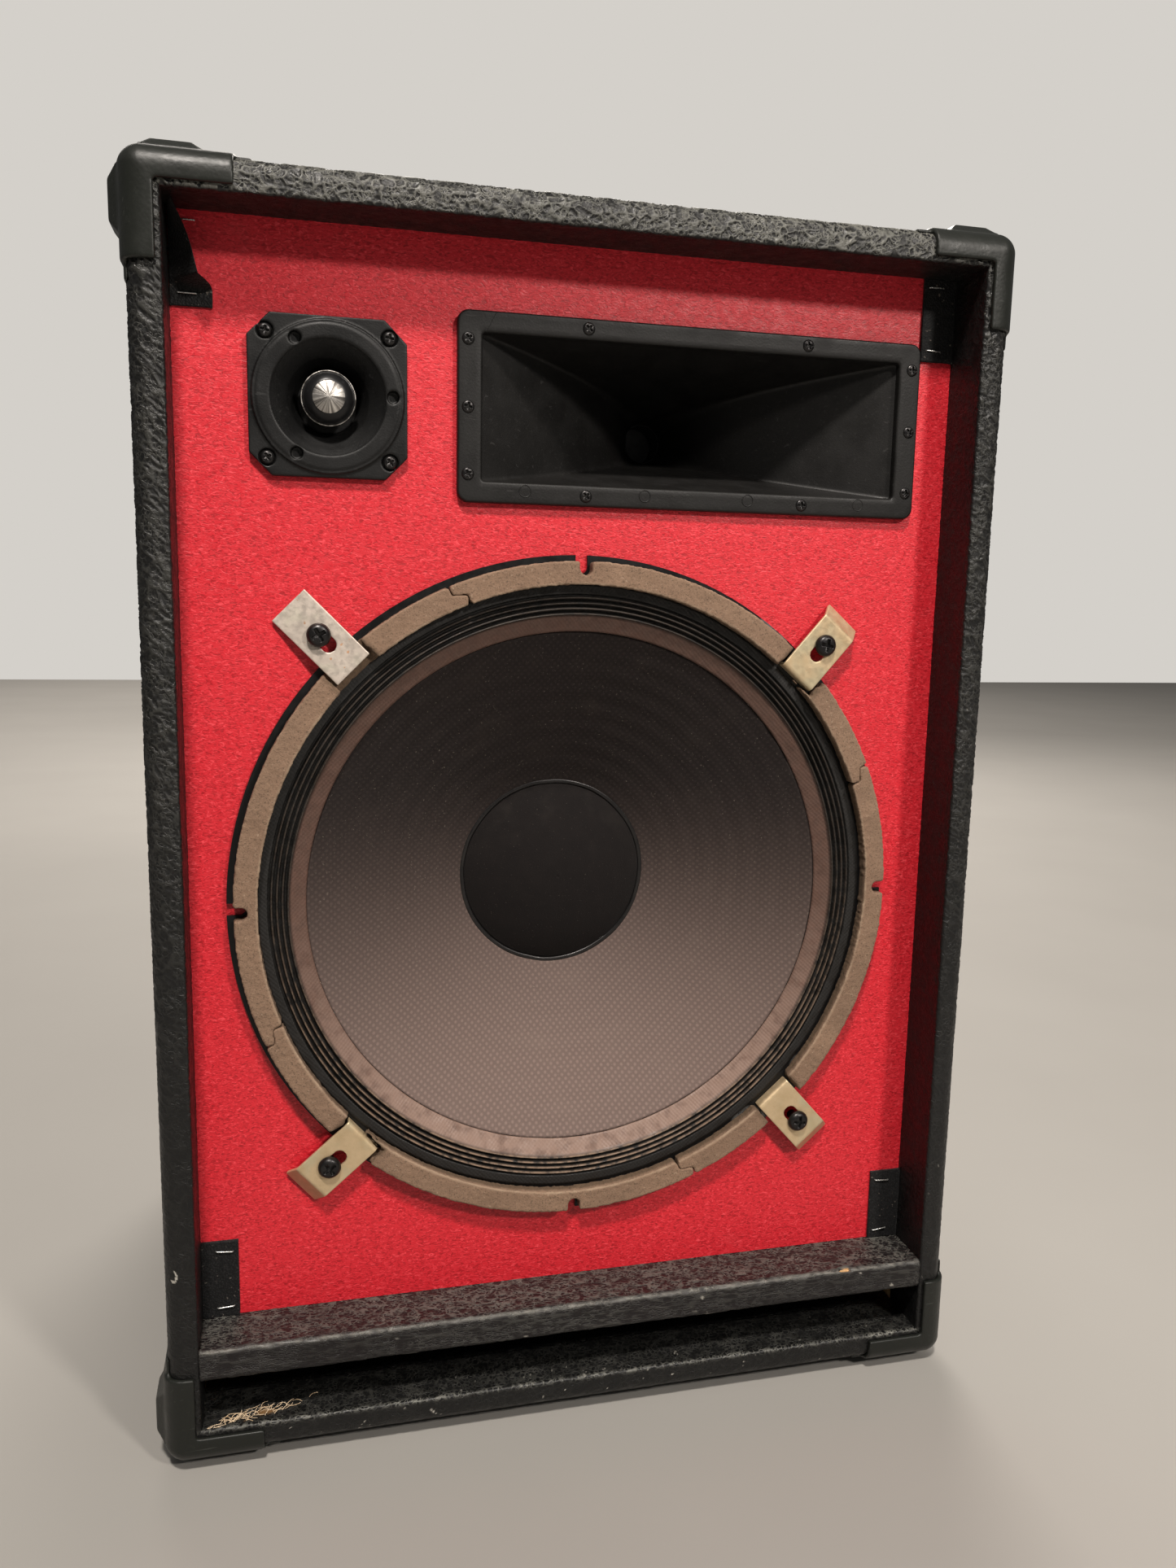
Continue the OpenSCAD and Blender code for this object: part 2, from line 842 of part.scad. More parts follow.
module crossover_board() {
    color("#4a3b22") translate([cross_x, cross_y, floor_z]) {
        translate([-board_l / 2, -board_w / 2, 8]) cube([board_l, board_w, 5]);
        for (x = [-1, 1], y = [-1, 1])
            translate([x * (board_l / 2 - 10), y * (board_w / 2 - 10), 0]) cylinder(h = 9, r = 5);
    }
}

module crossover_coils() {
    color("#a8612a") for (x = [-52, 10])
        translate([cross_x + x, cross_y + 16, board_z + 5]) ring(24, 10, 0, 22);
}

module crossover_capacitors() {
    color("#20509a") for (i = [0 : 2])
        translate([cross_x + 46 + 16 * i, cross_y - 20, board_z + 5 + 9]) rotate([90, 0, 0]) {
            translate([0, 0, -16]) cylinder(h = 32, r = 7);
            translate([0, 0, -20]) cylinder(h = 40, r = 0.6, $fn = 16);
        }
}

module wire_run(points, r) {
    for (i = [0 : len(points) - 2]) rod(points[i], points[i + 1], r);
    for (i = [1 : len(points) - 2]) translate(points[i]) sphere(r = r * 1.15, $fn = 24);
}

// Cables from the crossover to the rear dish, the tweeter and the horn driver
module wiring() {
    top = board_z + 5;
    cable = 2.4;
    to_dish = [
        [cross_x + 75, cross_y + 40, top], [cross_x + 75, cross_y + 40, top + 60],
        [dish_x + 68, rear_front_y - 6, base_z + dish_rise + 30]
    ];
    to_tweeter = [
        [cross_x - 80, cross_y - 40, top], [cross_x - 80, cross_y - 40, top + 90],
        [-150, cross_y - 40, 300], [-150, 10, tweeter_z - 20],
        [tweeter_x, baffle_y + 44, tweeter_z - 20]
    ];
    to_driver = [
        [cross_x + 20, cross_y - 50, top + 0.5], [cross_x + 20, cross_y - 30, top + 120],
        [110, cross_y - 30, 420], [130, baffle_y + 130, horn_z - 40],
        [horn_x + 50, baffle_y + 130, horn_z]
    ];
    color("#b02a20") for (run = [to_dish, to_tweeter, to_driver]) wire_run(run, cable);
}

module damping_wadding() {
    color("#d8d4c8") {
        span([-160, rear_front_y - 26, 330], [160, rear_front_y - 1, 620]);
        span([-160, -70, wood_top - 26], [160, rear_front_y - batten - 15, wood_top - 1]);
    }
}

// ---- rear panel fittings ----

// Local frame on the rear panel's outer face: local z points out of the back
module on_rear(x, z) {
    translate([x, rear_y - rear_recess, z]) rotate([90, 0, 180]) children();
}

module rear_screw_places() {
    inset = batten / 2;
    xs = open_w / 2 - inset;
    zs = open_h / 2 - inset;
    for (x = [-xs, 0, xs]) for (z = [-zs, zs]) on_rear(x, mid_z + z) children();
    for (x = [-xs, xs]) for (z = [-zs / 3, zs / 3]) on_rear(x, mid_z + z) children();
}

module rear_screws() {
    color("#1a1a1b") rear_screw_places() translate([0, 0, gap]) screw(1.75, 30, 4, 2.6);
}

module terminal_cutout() {
    on_rear(dish_x, base_z + dish_rise) cube([terminal_w - 28, terminal_h - 24, 60], center = true);
}

module terminal_screw_places() {
    for (x = [-1, 1], z = [-1, 1])
        on_rear(dish_x + x * (terminal_w / 2 - 8), base_z + dish_rise + z * (terminal_h / 2 - 7)) children();
}

module terminal_dish() {
    w = terminal_w - 29;
    h = terminal_h - 25;
    color("#18191a") on_rear(dish_x, base_z + dish_rise) difference() {
        union() {
            linear_extrude(2.5) polygon(round_rect(terminal_w, terminal_h, 8));
            translate([0, 0, -24]) linear_extrude(25) polygon(round_rect(w, h, 6));
        }
        translate([0, 0, -21.5]) linear_extrude(30) polygon(round_rect(w - 5, h - 5, 4));
        for (x = [-24, 24]) translate([x, 0, -30]) cylinder(h = 20, r = jack_r + gap);
        for (x = [-1, 1], y = [-1, 1]) translate([x * (terminal_w / 2 - 8), y * (terminal_h / 2 - 7), 0])
            cylinder(h = 20, r = 1.8, center = true);
    }
}

module jack_sockets() {
    color("#909396") on_rear(dish_x, base_z + dish_rise)
        for (x = [-24, 24]) translate([x, 0, -21.5 + gap]) difference() {
            union() {
                translate([0, 0, -26]) cylinder(h = 30, r = jack_r);
                ring(9, jack_r - 1, 0, 2.5);
                translate([0, 0, -26]) cylinder(h = 22, r = 9);
            }
            translate([0, 0, -22]) cylinder(h = 40, r = 3.2);
        }
}

module terminal_screws() {
    color("#1a1a1b") terminal_screw_places() translate([0, 0, 2.5 + gap]) screw(1.5, 14, 3.4, 2.2);
}

// ---- side handles ----

// Local frame on a side panel: local z points out of the side, local x to the back, local y up
module on_side(s) {
    translate([s * cab_w / 2, 0, handle_z]) rotate([90, 0, s * 90]) children();
}

module handle_cutouts() {
    for (s = [-1, 1]) {
        on_side(s) translate([0, 0, -ply]) linear_extrude(3 * ply, center = true)
            polygon(round_rect(dish_l + 1, dish_h + 1, 8.5));
        handle_screw_places(s) cylinder(h = 40, r = 1.8, center = true);
    }
}

module handle_screw_places(s) {
    x = dish_l / 2 + dish_lip / 2;
    for (i = [-1, 1], j = [-1, 1]) on_side(s) translate([i * x, j * dish_h / 2.6, 0]) children();
}

module handle_dish(s) {
    color("#1d1e1f") difference() {
        on_side(s) difference() {
            union() {
                linear_extrude(2.5) polygon(round_rect(dish_l + 2 * dish_lip, dish_h + 2 * dish_lip, 12));
                translate([0, 0, -dish_deep]) linear_extrude(dish_deep + 1)
                    polygon(round_rect(dish_l, dish_h, 8));
            }
            translate([0, 0, dish_wall - dish_deep]) linear_extrude(dish_deep + 5)
                polygon(round_rect(dish_l - 2 * dish_wall, dish_h - 2 * dish_wall, 6));
        }
        handle_screw_places(s) cylinder(h = 20, r = 2, center = true);
        translate([s * (cab_w / 2 - pivot_in), 0, pivot_z]) rotate([90, 0, 0])
            cylinder(h = dish_l + 20, r = 3 + gap, center = true);
    }
}

// Bent round bar that hangs in the dish and swings out on its turned ends
module handle_bail(s) {
    x = s * (cab_w / 2 - pivot_in);
    arm_y = grip_l / 2;
    pin_l = dish_l / 2 - arm_y - 0.4;
    color("#3b3d40") {
        for (e = [-1, 1]) {
            translate([x, e * arm_y, pivot_z - bail_arm]) cylinder(h = bail_arm + bail_r, r = bail_r);
            translate([x, e * arm_y, pivot_z]) rotate([-90 * e, 0, 0]) cylinder(h = pin_l, r = 3);
        }
        translate([x, 0, pivot_z - bail_arm]) rotate([90, 0, 0])
            cylinder(h = grip_l + 2 * bail_r, r = bail_r + 1.5, center = true);
    }
}

module handle_dish_left() {
    handle_dish(-1);
}

module handle_dish_right() {
    handle_dish(1);
}

module handle_bail_left() {
    handle_bail(-1);
}

module handle_bail_right() {
    handle_bail(1);
}

module handle_screws() {
    color("#1a1a1b") for (s = [-1, 1])
        handle_screw_places(s) translate([0, 0, 2.5 + gap]) screw(1.75, 16, 3.6, 2.4);
}

vinyl_covering();
top_panel();
bottom_panel();
left_panel();
right_panel();
rear_panel();
baffle_board();
baffle_facing();
port_shelf();
shelf_covering();
battens();
corner_front_top_left();
corner_front_top_right();
corner_front_bottom_left();
corner_front_bottom_right();
corner_rear_top_left();
corner_rear_top_right();
corner_rear_bottom_left();
corner_rear_bottom_right();
corner_screws();
hook_tabs();
staples();
woofer_frame();
woofer_gasket();
woofer_surround();
woofer_cone();
dust_cap();
voice_coil();
spider();
front_plate();
ring_magnet();
pole_plate();
clamp_top_left();
clamp_top_right();
clamp_bottom_left();
clamp_bottom_right();
clamp_screws();
tweeter_housing();
tweeter_bullet();
tweeter_motor();
tweeter_screws();
horn();
horn_driver();
horn_driver_cap();
horn_screws();
crossover_board();
crossover_coils();
crossover_capacitors();
terminal_dish();
jack_sockets();
terminal_screws();
handle_dish_left();
handle_dish_right();
handle_bail_left();
handle_bail_right();
handle_screws();
damping_wadding();
rear_screws();
wiring();
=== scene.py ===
"""PA speaker cabinet: the looks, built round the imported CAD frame.

X is to the right, Y to the back, Z up. Shapes are worked out in millimetres and scaled to metres when a
mesh is made. Heights called h are measured out of the baffle, towards the front.
"""
import itertools
import json
import math

import bmesh
import bpy
import numpy as np
from mathutils import Matrix, Vector


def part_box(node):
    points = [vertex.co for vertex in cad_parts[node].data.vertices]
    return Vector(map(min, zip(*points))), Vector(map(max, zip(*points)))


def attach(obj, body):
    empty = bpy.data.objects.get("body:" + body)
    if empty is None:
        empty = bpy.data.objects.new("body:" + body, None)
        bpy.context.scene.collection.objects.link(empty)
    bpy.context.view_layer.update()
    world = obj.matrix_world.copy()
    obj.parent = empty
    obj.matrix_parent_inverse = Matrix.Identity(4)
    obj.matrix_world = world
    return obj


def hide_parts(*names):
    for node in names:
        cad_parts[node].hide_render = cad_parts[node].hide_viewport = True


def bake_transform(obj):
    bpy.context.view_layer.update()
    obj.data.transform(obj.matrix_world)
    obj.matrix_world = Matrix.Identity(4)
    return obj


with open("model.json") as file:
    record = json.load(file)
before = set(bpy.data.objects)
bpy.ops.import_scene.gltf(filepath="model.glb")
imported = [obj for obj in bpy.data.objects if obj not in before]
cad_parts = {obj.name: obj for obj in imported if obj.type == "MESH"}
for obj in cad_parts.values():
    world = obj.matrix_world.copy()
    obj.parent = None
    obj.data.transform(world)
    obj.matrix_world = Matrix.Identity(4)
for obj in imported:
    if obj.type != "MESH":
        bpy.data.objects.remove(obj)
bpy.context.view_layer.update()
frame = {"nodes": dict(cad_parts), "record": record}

MM = 0.001
NODES = frame["nodes"]
SLOT_OF = {part["node"]: part["material_slot"] for part in frame["record"]["subparts"]}


def corners_of(node):
    """Lowest and highest corner of a CAD node in millimetres."""
    low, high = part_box(node)
    return np.array(low) / MM, np.array(high) / MM


# ---- sizes taken from the frame ----

CAB_LOW, CAB_HIGH = corners_of("vinyl_covering")
FACE_LOW, FACE_HIGH = corners_of("baffle_facing")
SHELF_LOW, SHELF_HIGH = corners_of("shelf_covering")
FRONT, REAR = CAB_LOW[1], CAB_HIGH[1]
BAFFLE = FACE_LOW[1]
OPEN_HALF_W = FACE_HIGH[0]
WALL = CAB_HIGH[0] - OPEN_HALF_W
MID_Z = (CAB_LOW[2] + CAB_HIGH[2]) / 2
OPEN_HALF_H = (CAB_HIGH[2] - CAB_LOW[2]) / 2 - WALL
FLOOR_Z = CAB_LOW[2] + WALL
EDGE_R = 9.0
REAR_RECESS = 17.0


def middle(node):
    low, high = corners_of(node)
    return (low + high) / 2


WOOFER = middle("woofer_frame")[[0, 2]]
HORN = middle("horn")[[0, 2]]
TWEETER = middle("tweeter_housing")[[0, 2]]


# ---- small maths ----

def smooth(value, low, high):
    """0 below low, 1 above high, with a smooth change between."""
    t = np.clip((value - low) / (high - low), 0, 1)
    return t * t * (3 - 2 * t)


def scatter(cells, seed, count=3):
    """Repeatable random numbers from 0 to 1 for each whole-numbered cell."""
    c = cells.astype(np.int64).astype(np.uint64)
    h = c[..., 0] * np.uint64(73856093) ^ c[..., 1] * np.uint64(19349663) ^ c[..., 2] * np.uint64(83492791)
    h = h ^ np.uint64(seed * 2654435761 % 2**32)
    out = []
    for _ in range(count):
        h = (h ^ (h >> np.uint64(15))) * np.uint64(2246822519) & np.uint64(0xFFFFFFFF)
        h = (h ^ (h >> np.uint64(13))) * np.uint64(3266489917) & np.uint64(0xFFFFFFFF)
        h = h ^ (h >> np.uint64(16))
        out.append(h.astype(float) / 2**32)
    return np.stack(out, -1)


def noise(points, size, seed=0):
    """Smooth noise from 0 to 1 whose lumps are about size across."""
    q = points / size
    cell = np.floor(q)
    f = q - cell
    f = f * f * (3 - 2 * f)
    total = 0
    for corner in itertools.product((0, 1), repeat=3):
        weight = np.prod(np.where(corner, f, 1 - f), axis=-1)
        total = total + weight * scatter(cell + corner, seed, 1)[..., 0]
    return total


def creases(points, size, seed=0):
    """Distance from the nearest border between irregular cells about size across, in cell widths."""
    q = points / size
    cell = np.floor(q)
    near = np.full(q.shape[:-1], 9.0)
    second = near.copy()
    for step in itertools.product((-1, 0, 1), repeat=3):
        other = cell + step
        d = np.linalg.norm(other + scatter(other, seed) - q, axis=-1)
        second = np.minimum(second, np.maximum(near, d))
        near = np.minimum(near, d)
    return second - near


def bark(points, stretch=(1, 1, 1), turn=0.0):
    """Height from 0 to 1 of the covering's grain, thin crests round smooth cells that turn tilts."""
    c, s = math.cos(turn), math.sin(turn)
    q = points @ np.array([[c, 0, -s], [0, 1, 0], [s, 0, c]]) / np.array(stretch)
    q = q + 3.4 * np.stack([noise(q, 4.0, k) - 0.5 for k in (11, 12, 13)], -1)
    wide = 1 - smooth(creases(q, 4.2, 1), 0.02, 0.26)
    fine = 1 - smooth(creases(q, 2.2, 2), 0.02, 0.32)
    patch = noise(q, 4.5, 5)
    return np.clip(wide * (0.3 + 0.95 * patch) + 0.42 * fine * (1.1 - patch), 0, 1)


def fillet(points, radii, steps=6):
    """An open outline of 2-D points with its corners rounded, each to its own radius."""
    points = [np.array(p, float) for p in points]
    out = [points[0]]
    for before, corner, after, radius in zip(points, points[1:], points[2:], radii):
        if radius <= 0:
            out.append(corner)
            continue
        a = (before - corner) / np.linalg.norm(before - corner)
        b = (after - corner) / np.linalg.norm(after - corner)
        half = math.acos(max(-1, min(1, a @ b))) / 2
        reach = radius / math.tan(half)
        centre = corner + (a + b) / np.linalg.norm(a + b) * radius / math.sin(half)
        start, end = corner + a * reach - centre, corner + b * reach - centre
        turn = math.atan2(start[0] * end[1] - start[1] * end[0], start @ end)
        for i in range(steps + 1):
            c, s = math.cos(turn * i / steps), math.sin(turn * i / steps)
            out.append(centre + np.array([c * start[0] - s * start[1], s * start[0] + c * start[1]]))
    out.append(points[-1])
    return np.array(out)


def resample(path, spacing):
    """Evenly spaced points along a path, about spacing apart."""
    lengths = np.concatenate([[0], np.cumsum(np.linalg.norm(np.diff(path, axis=0), axis=1))])
    count = max(2, int(round(lengths[-1] / spacing)) + 1)
    at = np.linspace(0, lengths[-1], count)
    return np.stack([np.interp(at, lengths, path[:, k]) for k in range(path.shape[1])], -1)


def left_normals(path):
    """Unit normals to the left of a 2-D path."""
    along = np.gradient(path, axis=0)
    along /= np.linalg.norm(along, axis=1, keepdims=True)
    return np.stack([-along[:, 1], along[:, 0]], -1)


# ---- meshes ----

def grid_faces(rows, cols, wrap_rows=False, wrap_cols=False, first=0):
    """Quads of a grid of points stored row by row."""
    r = np.arange(rows if wrap_rows else rows - 1)
    c = np.arange(cols if wrap_cols else cols - 1)
    r, c = np.meshgrid(r, c, indexing="ij")
    r2, c2 = (r + 1) % rows, (c + 1) % cols
    quads = np.stack([r * cols + c, r * cols + c2, r2 * cols + c2, r2 * cols + c], -1)
    return quads.reshape(-1, 4) + first


def as_lists(faces):
    return faces.tolist() if isinstance(faces, np.ndarray) else faces


def end_caps(rows, cols):
    """The two faces that close a grid whose rows run round it, at its first and last column."""
    return [[r * cols for r in range(rows)], [r * cols + cols - 1 for r in range(rows)][::-1]]


def flat_ends(rows, cols):
    """The two faces that close a grid whose columns run round it, at its first and last row."""
    return [list(range(cols))[::-1], [(rows - 1) * cols + c for c in range(cols)]]


def make(name, points, faces, paint, body="cabinet", replaces=(), marks=None, sharp=None):
    """A shown piece: a mesh in millimetres turned into an object that rides on a body."""
    mesh = bpy.data.meshes.new(name)
    mesh.from_pydata((np.asarray(points, float) * MM).tolist(), [], as_lists(faces))
    for mark, values in (marks or {}).items():
        layer = mesh.attributes.new(mark, "FLOAT", "POINT")
        layer.data.foreach_set("value", np.asarray(values, np.float32).ravel())
    work = bmesh.new()
    work.from_mesh(mesh)
    bmesh.ops.recalc_face_normals(work, faces=work.faces)
    work.to_mesh(mesh)
    work.free()
    mesh.shade_smooth()
    if sharp:
        mesh.set_sharp_from_angle(angle=math.radians(sharp))
    piece = bpy.data.objects.new(name, mesh)
    bpy.context.collection.objects.link(piece)
    mesh.materials.append(paint)
    if body:
        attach(piece, body)
    if replaces:
        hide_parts(*replaces)
    return piece


def join(parts):
    """One list of points and faces from several (points, faces) pairs."""
    points, faces, first = [], [], 0
    for p, f in parts:
        points.append(np.asarray(p, float))
        faces.extend([[i + first for i in face] for face in as_lists(f)])
        first += len(p)
    return np.concatenate(points), faces


def sheet(front, back, keep=None):
    """A closed slab between two grids of points of the same shape; keep says which cells are there."""
    rows, cols = front.shape[:2]
    quads = grid_faces(rows, cols)
    if keep is not None:
        quads = quads[keep.ravel()]
    edges = np.concatenate([quads[:, [i, (i + 1) % 4]] for i in range(4)])
    key = np.sort(edges, 1)
    _, place, count = np.unique(key, axis=0, return_inverse=True, return_counts=True)
    rim = edges[count[place.ravel()] == 1]
    n = rows * cols
    walls = np.stack([rim[:, 1], rim[:, 0], rim[:, 0] + n, rim[:, 1] + n], -1)
    faces = np.concatenate([quads, quads[:, ::-1] + n, walls])
    points = np.concatenate([front.reshape(-1, 3), back.reshape(-1, 3)])
    used, faces = np.unique(faces, return_inverse=True)
    return points[used], faces.reshape(-1, 4)


def off_baffle(centre, x, h, z):
    """Points told by their place on the baffle, from a centre, and their height h out of it."""
    return np.stack([centre[0] + x, BAFFLE - h + 0 * x, centre[1] + z], -1)


def lathe(profile, steps, centre, closed=True):
    """A (radius, h) profile turned about an axis that comes out of the baffle at centre."""
    profile = np.array(profile, float)
    turn = np.linspace(0, 2 * math.pi, steps, endpoint=False)
    r, h = profile[:, 0][:, None], profile[:, 1][:, None]
    points = off_baffle(centre, r * np.cos(turn), h, r * np.sin(turn))
    return points.reshape(-1, 3), grid_faces(len(profile), steps, closed, True)


def skin(r, front, back):
    """The closed profile of a turned sheet, from its radii and the heights of its two faces."""
    return np.concatenate([np.stack([r, front], -1), np.stack([r, back], -1)[::-1]])


def tube(path, radius, sides=10):
    """A round rod along a 3-D path, with flat ends."""
    path = np.array(path, float)
    along = np.gradient(path, axis=0)
    along /= np.linalg.norm(along, axis=1, keepdims=True)
    across = np.cross(along, [0.31, 0.17, 0.93])
    across /= np.linalg.norm(across, axis=1, keepdims=True)
    other = np.cross(along, across)
    turn = np.linspace(0, 2 * math.pi, sides, endpoint=False)[:, None, None]
    rings = path + radius * (np.cos(turn) * across + np.sin(turn) * other)
    points = rings.transpose(1, 0, 2).reshape(-1, 3)
    return points, grid_faces(len(path), sides, False, True).tolist() + flat_ends(len(path), sides)


def remesh(points, faces, voxel, relax):
    """The same solid in small even quads, with its edges eased."""
    mesh = bpy.data.meshes.new("work")
    mesh.from_pydata(np.asarray(points, float).tolist(), [], as_lists(faces))
    work = bpy.data.objects.new("work", mesh)
    bpy.context.collection.objects.link(work)
    cut = work.modifiers.new("remesh", "REMESH")
    cut.mode, cut.voxel_size, cut.adaptivity = "VOXEL", voxel, 0
    ease = work.modifiers.new("ease", "SMOOTH")
    ease.factor, ease.iterations = 0.5, relax
    shown = work.evaluated_get(bpy.context.evaluated_depsgraph_get()).to_mesh()
    out = np.zeros(len(shown.vertices) * 3)
    shown.vertices.foreach_get("co", out)
    quads = [list(p.vertices) for p in shown.polygons]
    bpy.data.objects.remove(work)
    bpy.data.meshes.remove(mesh)
    return out.reshape(-1, 3), quads


def node_mesh(node):
    """A CAD node's points in millimetres, with doubles merged, and its faces."""
    work = bmesh.new()
    work.from_mesh(NODES[node].data)
    bmesh.ops.remove_doubles(work, verts=work.verts, dist=1e-7)
    work.verts.ensure_lookup_table()
    points = np.array([v.co for v in work.verts]) / MM
    faces = [[v.index for v in f.verts] for f in work.faces]
    work.free()
    return points, faces


def solids(node):
    """Lowest and highest corner of each separate solid of a CAD node."""
    points, faces = node_mesh(node)
    parent = list(range(len(points)))

    def root(i):
        while parent[i] != i:
            parent[i] = parent[parent[i]]
            i = parent[i]
        return i

    for face in faces:
        for other in face[1:]:
            parent[root(other)] = root(face[0])
    groups = {}
    for i in range(len(points)):
        groups.setdefault(root(i), []).append(i)
    return [(points[g].min(0), points[g].max(0)) for g in groups.values() if len(g) > 3]


def eased(name, node, paint, voxel, relax=3, shape=None, body="cabinet", sharp=None):
    """A moulded piece: the CAD node's shape with eased edges, and shape(points) for any change."""
    points, faces = remesh(*node_mesh(node), voxel, relax)
    if shape:
        points = shape(points)
    return make(name, points, faces, paint, body, (node,), sharp=sharp)


# ---- node materials ----

def rgb(r, g, b):
    """A colour given as it is seen, 0 to 255, for a shader that works in linear light."""
    return tuple(((c / 255 + 0.055) / 1.055) ** 2.4 if c > 10 else c / 255 / 12.92 for c in (r, g, b))


class Paint:
    """A material written line by line; sizes are in millimetres."""

    def __init__(self, name):
        self.material = bpy.data.materials.new(name)
        self.material.use_nodes = True
        self.tree = self.material.node_tree
        self.shader = self.tree.nodes["Principled BSDF"]
        self.place = self.tree.nodes.new("ShaderNodeTexCoord").outputs["Object"]

    def node(self, kind, values=(), **settings):
        node = self.tree.nodes.new(kind)
        for key, value in settings.items():
            setattr(node, key, value)
        for key, value in dict(values).items():
            self.plug(value, node.inputs[key])
        return node

    def plug(self, value, socket):
        if isinstance(value, bpy.types.NodeSocket):
            self.tree.links.new(value, socket)
        elif socket.type == "RGBA":
            socket.default_value = (*value, 1)
        else:
            socket.default_value = value

    def stretched(self, by, turn=(0, 0, 0)):
        return self.node("ShaderNodeMapping", {
            "Vector": self.place, "Scale": tuple(1 / b for b in by), "Rotation": turn
        }).outputs[0]

    def noise(self, size, detail=3, by=None, bend=0.0):
        place = self.stretched(by) if by else self.place
        return self.node("ShaderNodeTexNoise", {
            "Vector": place, "Scale": 1000 / size, "Detail": detail, "Distortion": bend
        }).outputs["Fac"]

    def cells(self, size, feature="F1", place=None):
        return self.node("ShaderNodeTexVoronoi", {"Vector": place or self.place, "Scale": 1000 / size},
                         feature=feature).outputs["Distance"]

    def stripes(self, size, turn=(0, 0, 0), bend=0.0):
        return self.node("ShaderNodeTexWave", {
            "Vector": self.stretched((1, 1, 1), turn), "Scale": 1000 / size / 6.28, "Distortion": bend
        }).outputs["Fac"]

    def wrinkles(self, size, by):
        """1 on thin crests round bent, irregular cells, 0 between them."""
        lumps = self.node("ShaderNodeTexNoise", {"Vector": self.place, "Scale": 700 / size, "Detail": 3})
        shift = self.node("ShaderNodeVectorMath", {0: lumps.outputs["Color"], 1: (-0.5, -0.5, -0.5)})
        shift = self.node("ShaderNodeVectorMath", {0: shift.outputs[0], "Scale": 1.5 * size * MM},
                          operation="SCALE")
        place = self.node("ShaderNodeVectorMath", {0: self.stretched(by), 1: shift.outputs[0]}).outputs[0]
        return self.ramp(self.cells(size, "DISTANCE_TO_EDGE", place), 0.0, 0.16, 1, 0)

    def ramp(self, value, low, high, start=0.0, end=1.0):
        return self.node("ShaderNodeMapRange", {
            "Value": value, "From Min": low, "From Max": high, "To Min": start, "To Max": end
        }, interpolation_type="SMOOTHSTEP").outputs[0]

    def uneven(self, size, low, high, detail=3):
        """A value that drifts between low and high over patches of a size."""
        return self.ramp(self.noise(size, detail), 0.3, 0.7, low, high)

    def flecks(self, colour, size, detail, low, high, most, tint):
        """The colour with flecks of a tint, where noise rises from low to high."""
        return self.mix(self.ramp(self.noise(size, detail), low, high, 0, most), colour, tint)

    def mix(self, factor, a, b):
        node = self.node("ShaderNodeMix", data_type="RGBA")
        for value, socket in ((factor, node.inputs[0]), (a, node.inputs[6]), (b, node.inputs[7])):
            self.plug(value, socket)
        return node.outputs[2]

    def math(self, operation, a, b=0.0):
        return self.node("ShaderNodeMath", {0: a, 1: b}, operation=operation).outputs[0]

    def mark(self, name):
        return self.node("ShaderNodeAttribute", attribute_name=name).outputs["Fac"]

    def axis(self, name):
        return self.node("ShaderNodeSeparateXYZ", {0: self.place}).outputs[name]

    def near(self, x, y, z, radius, soft):
        """1 within a radius of a place, fading to 0 over the soft distance."""
        node = self.node("ShaderNodeVectorMath", {0: self.place, 1: (x * MM, y * MM, z * MM)},
                         operation="DISTANCE")
        return self.ramp(node.outputs["Value"], radius * MM, (radius + soft) * MM, 1, 0)

    def done(self, colour, rough, height=None, depth=0.1, metal=0.0, **more):
        self.plug(colour, self.shader.inputs["Base Color"])
        self.plug(rough, self.shader.inputs["Roughness"])
        self.plug(metal, self.shader.inputs["Metallic"])
        for key, value in more.items():
            self.plug(value, self.shader.inputs[key.replace("_", " ")])
        if height is not None:
            bump = self.node("ShaderNodeBump", {"Height": height, "Distance": depth * MM, "Strength": 1.0})
            self.tree.links.new(bump.outputs[0], self.shader.inputs["Normal"])
        return self.material


def black_vinyl(name="black_vinyl", by=(1, 1, 1), size=2.6, tint=(0, 0, 0)):
    """Bark-grained vinyl: crests from the mesh's grain and finer wrinkles between them, painted pale as
    highlights as strongly as the lit mark says.
    """
    p = Paint(name)
    crest = p.ramp(p.mark("grain"), 0.45, 0.95)
    thin = p.math("MULTIPLY", p.wrinkles(size, by), p.ramp(p.noise(6, 3), 0.35, 0.6, 0.1, 0.95))
    # Painted highlight: shown is how much of the pale colour light the crests and wrinkles take, set by the
    # lit mark.
    shown = p.math("MULTIPLY", p.math("MAXIMUM", p.math("MULTIPLY", crest, 0.75), thin), p.mark("lit"))
    dark = p.mix(p.noise(70), rgb(*(11 + t for t in tint)), rgb(*(17 + t * 1.5 for t in tint)))
    light = p.mix(p.noise(20), rgb(96, 98, 92), rgb(146, 144, 136))
    colour = p.mix(shown, dark, light)
    wood = p.mix(p.noise(3, by=(4, 1, 1)), rgb(150, 94, 46), rgb(226, 182, 122))
    colour = p.mix(p.mark("bare"), colour, wood)
    colour = p.mix(p.mark("scuff"), colour, rgb(186, 182, 172))
    height = p.math("ADD", thin, p.math("MULTIPLY", p.noise(0.6), 0.25))
    rough = p.uneven(9, 0.38, 0.55)
    return p.done(colour, rough, height, 0.16, Specular_IOR_Level=0.38)


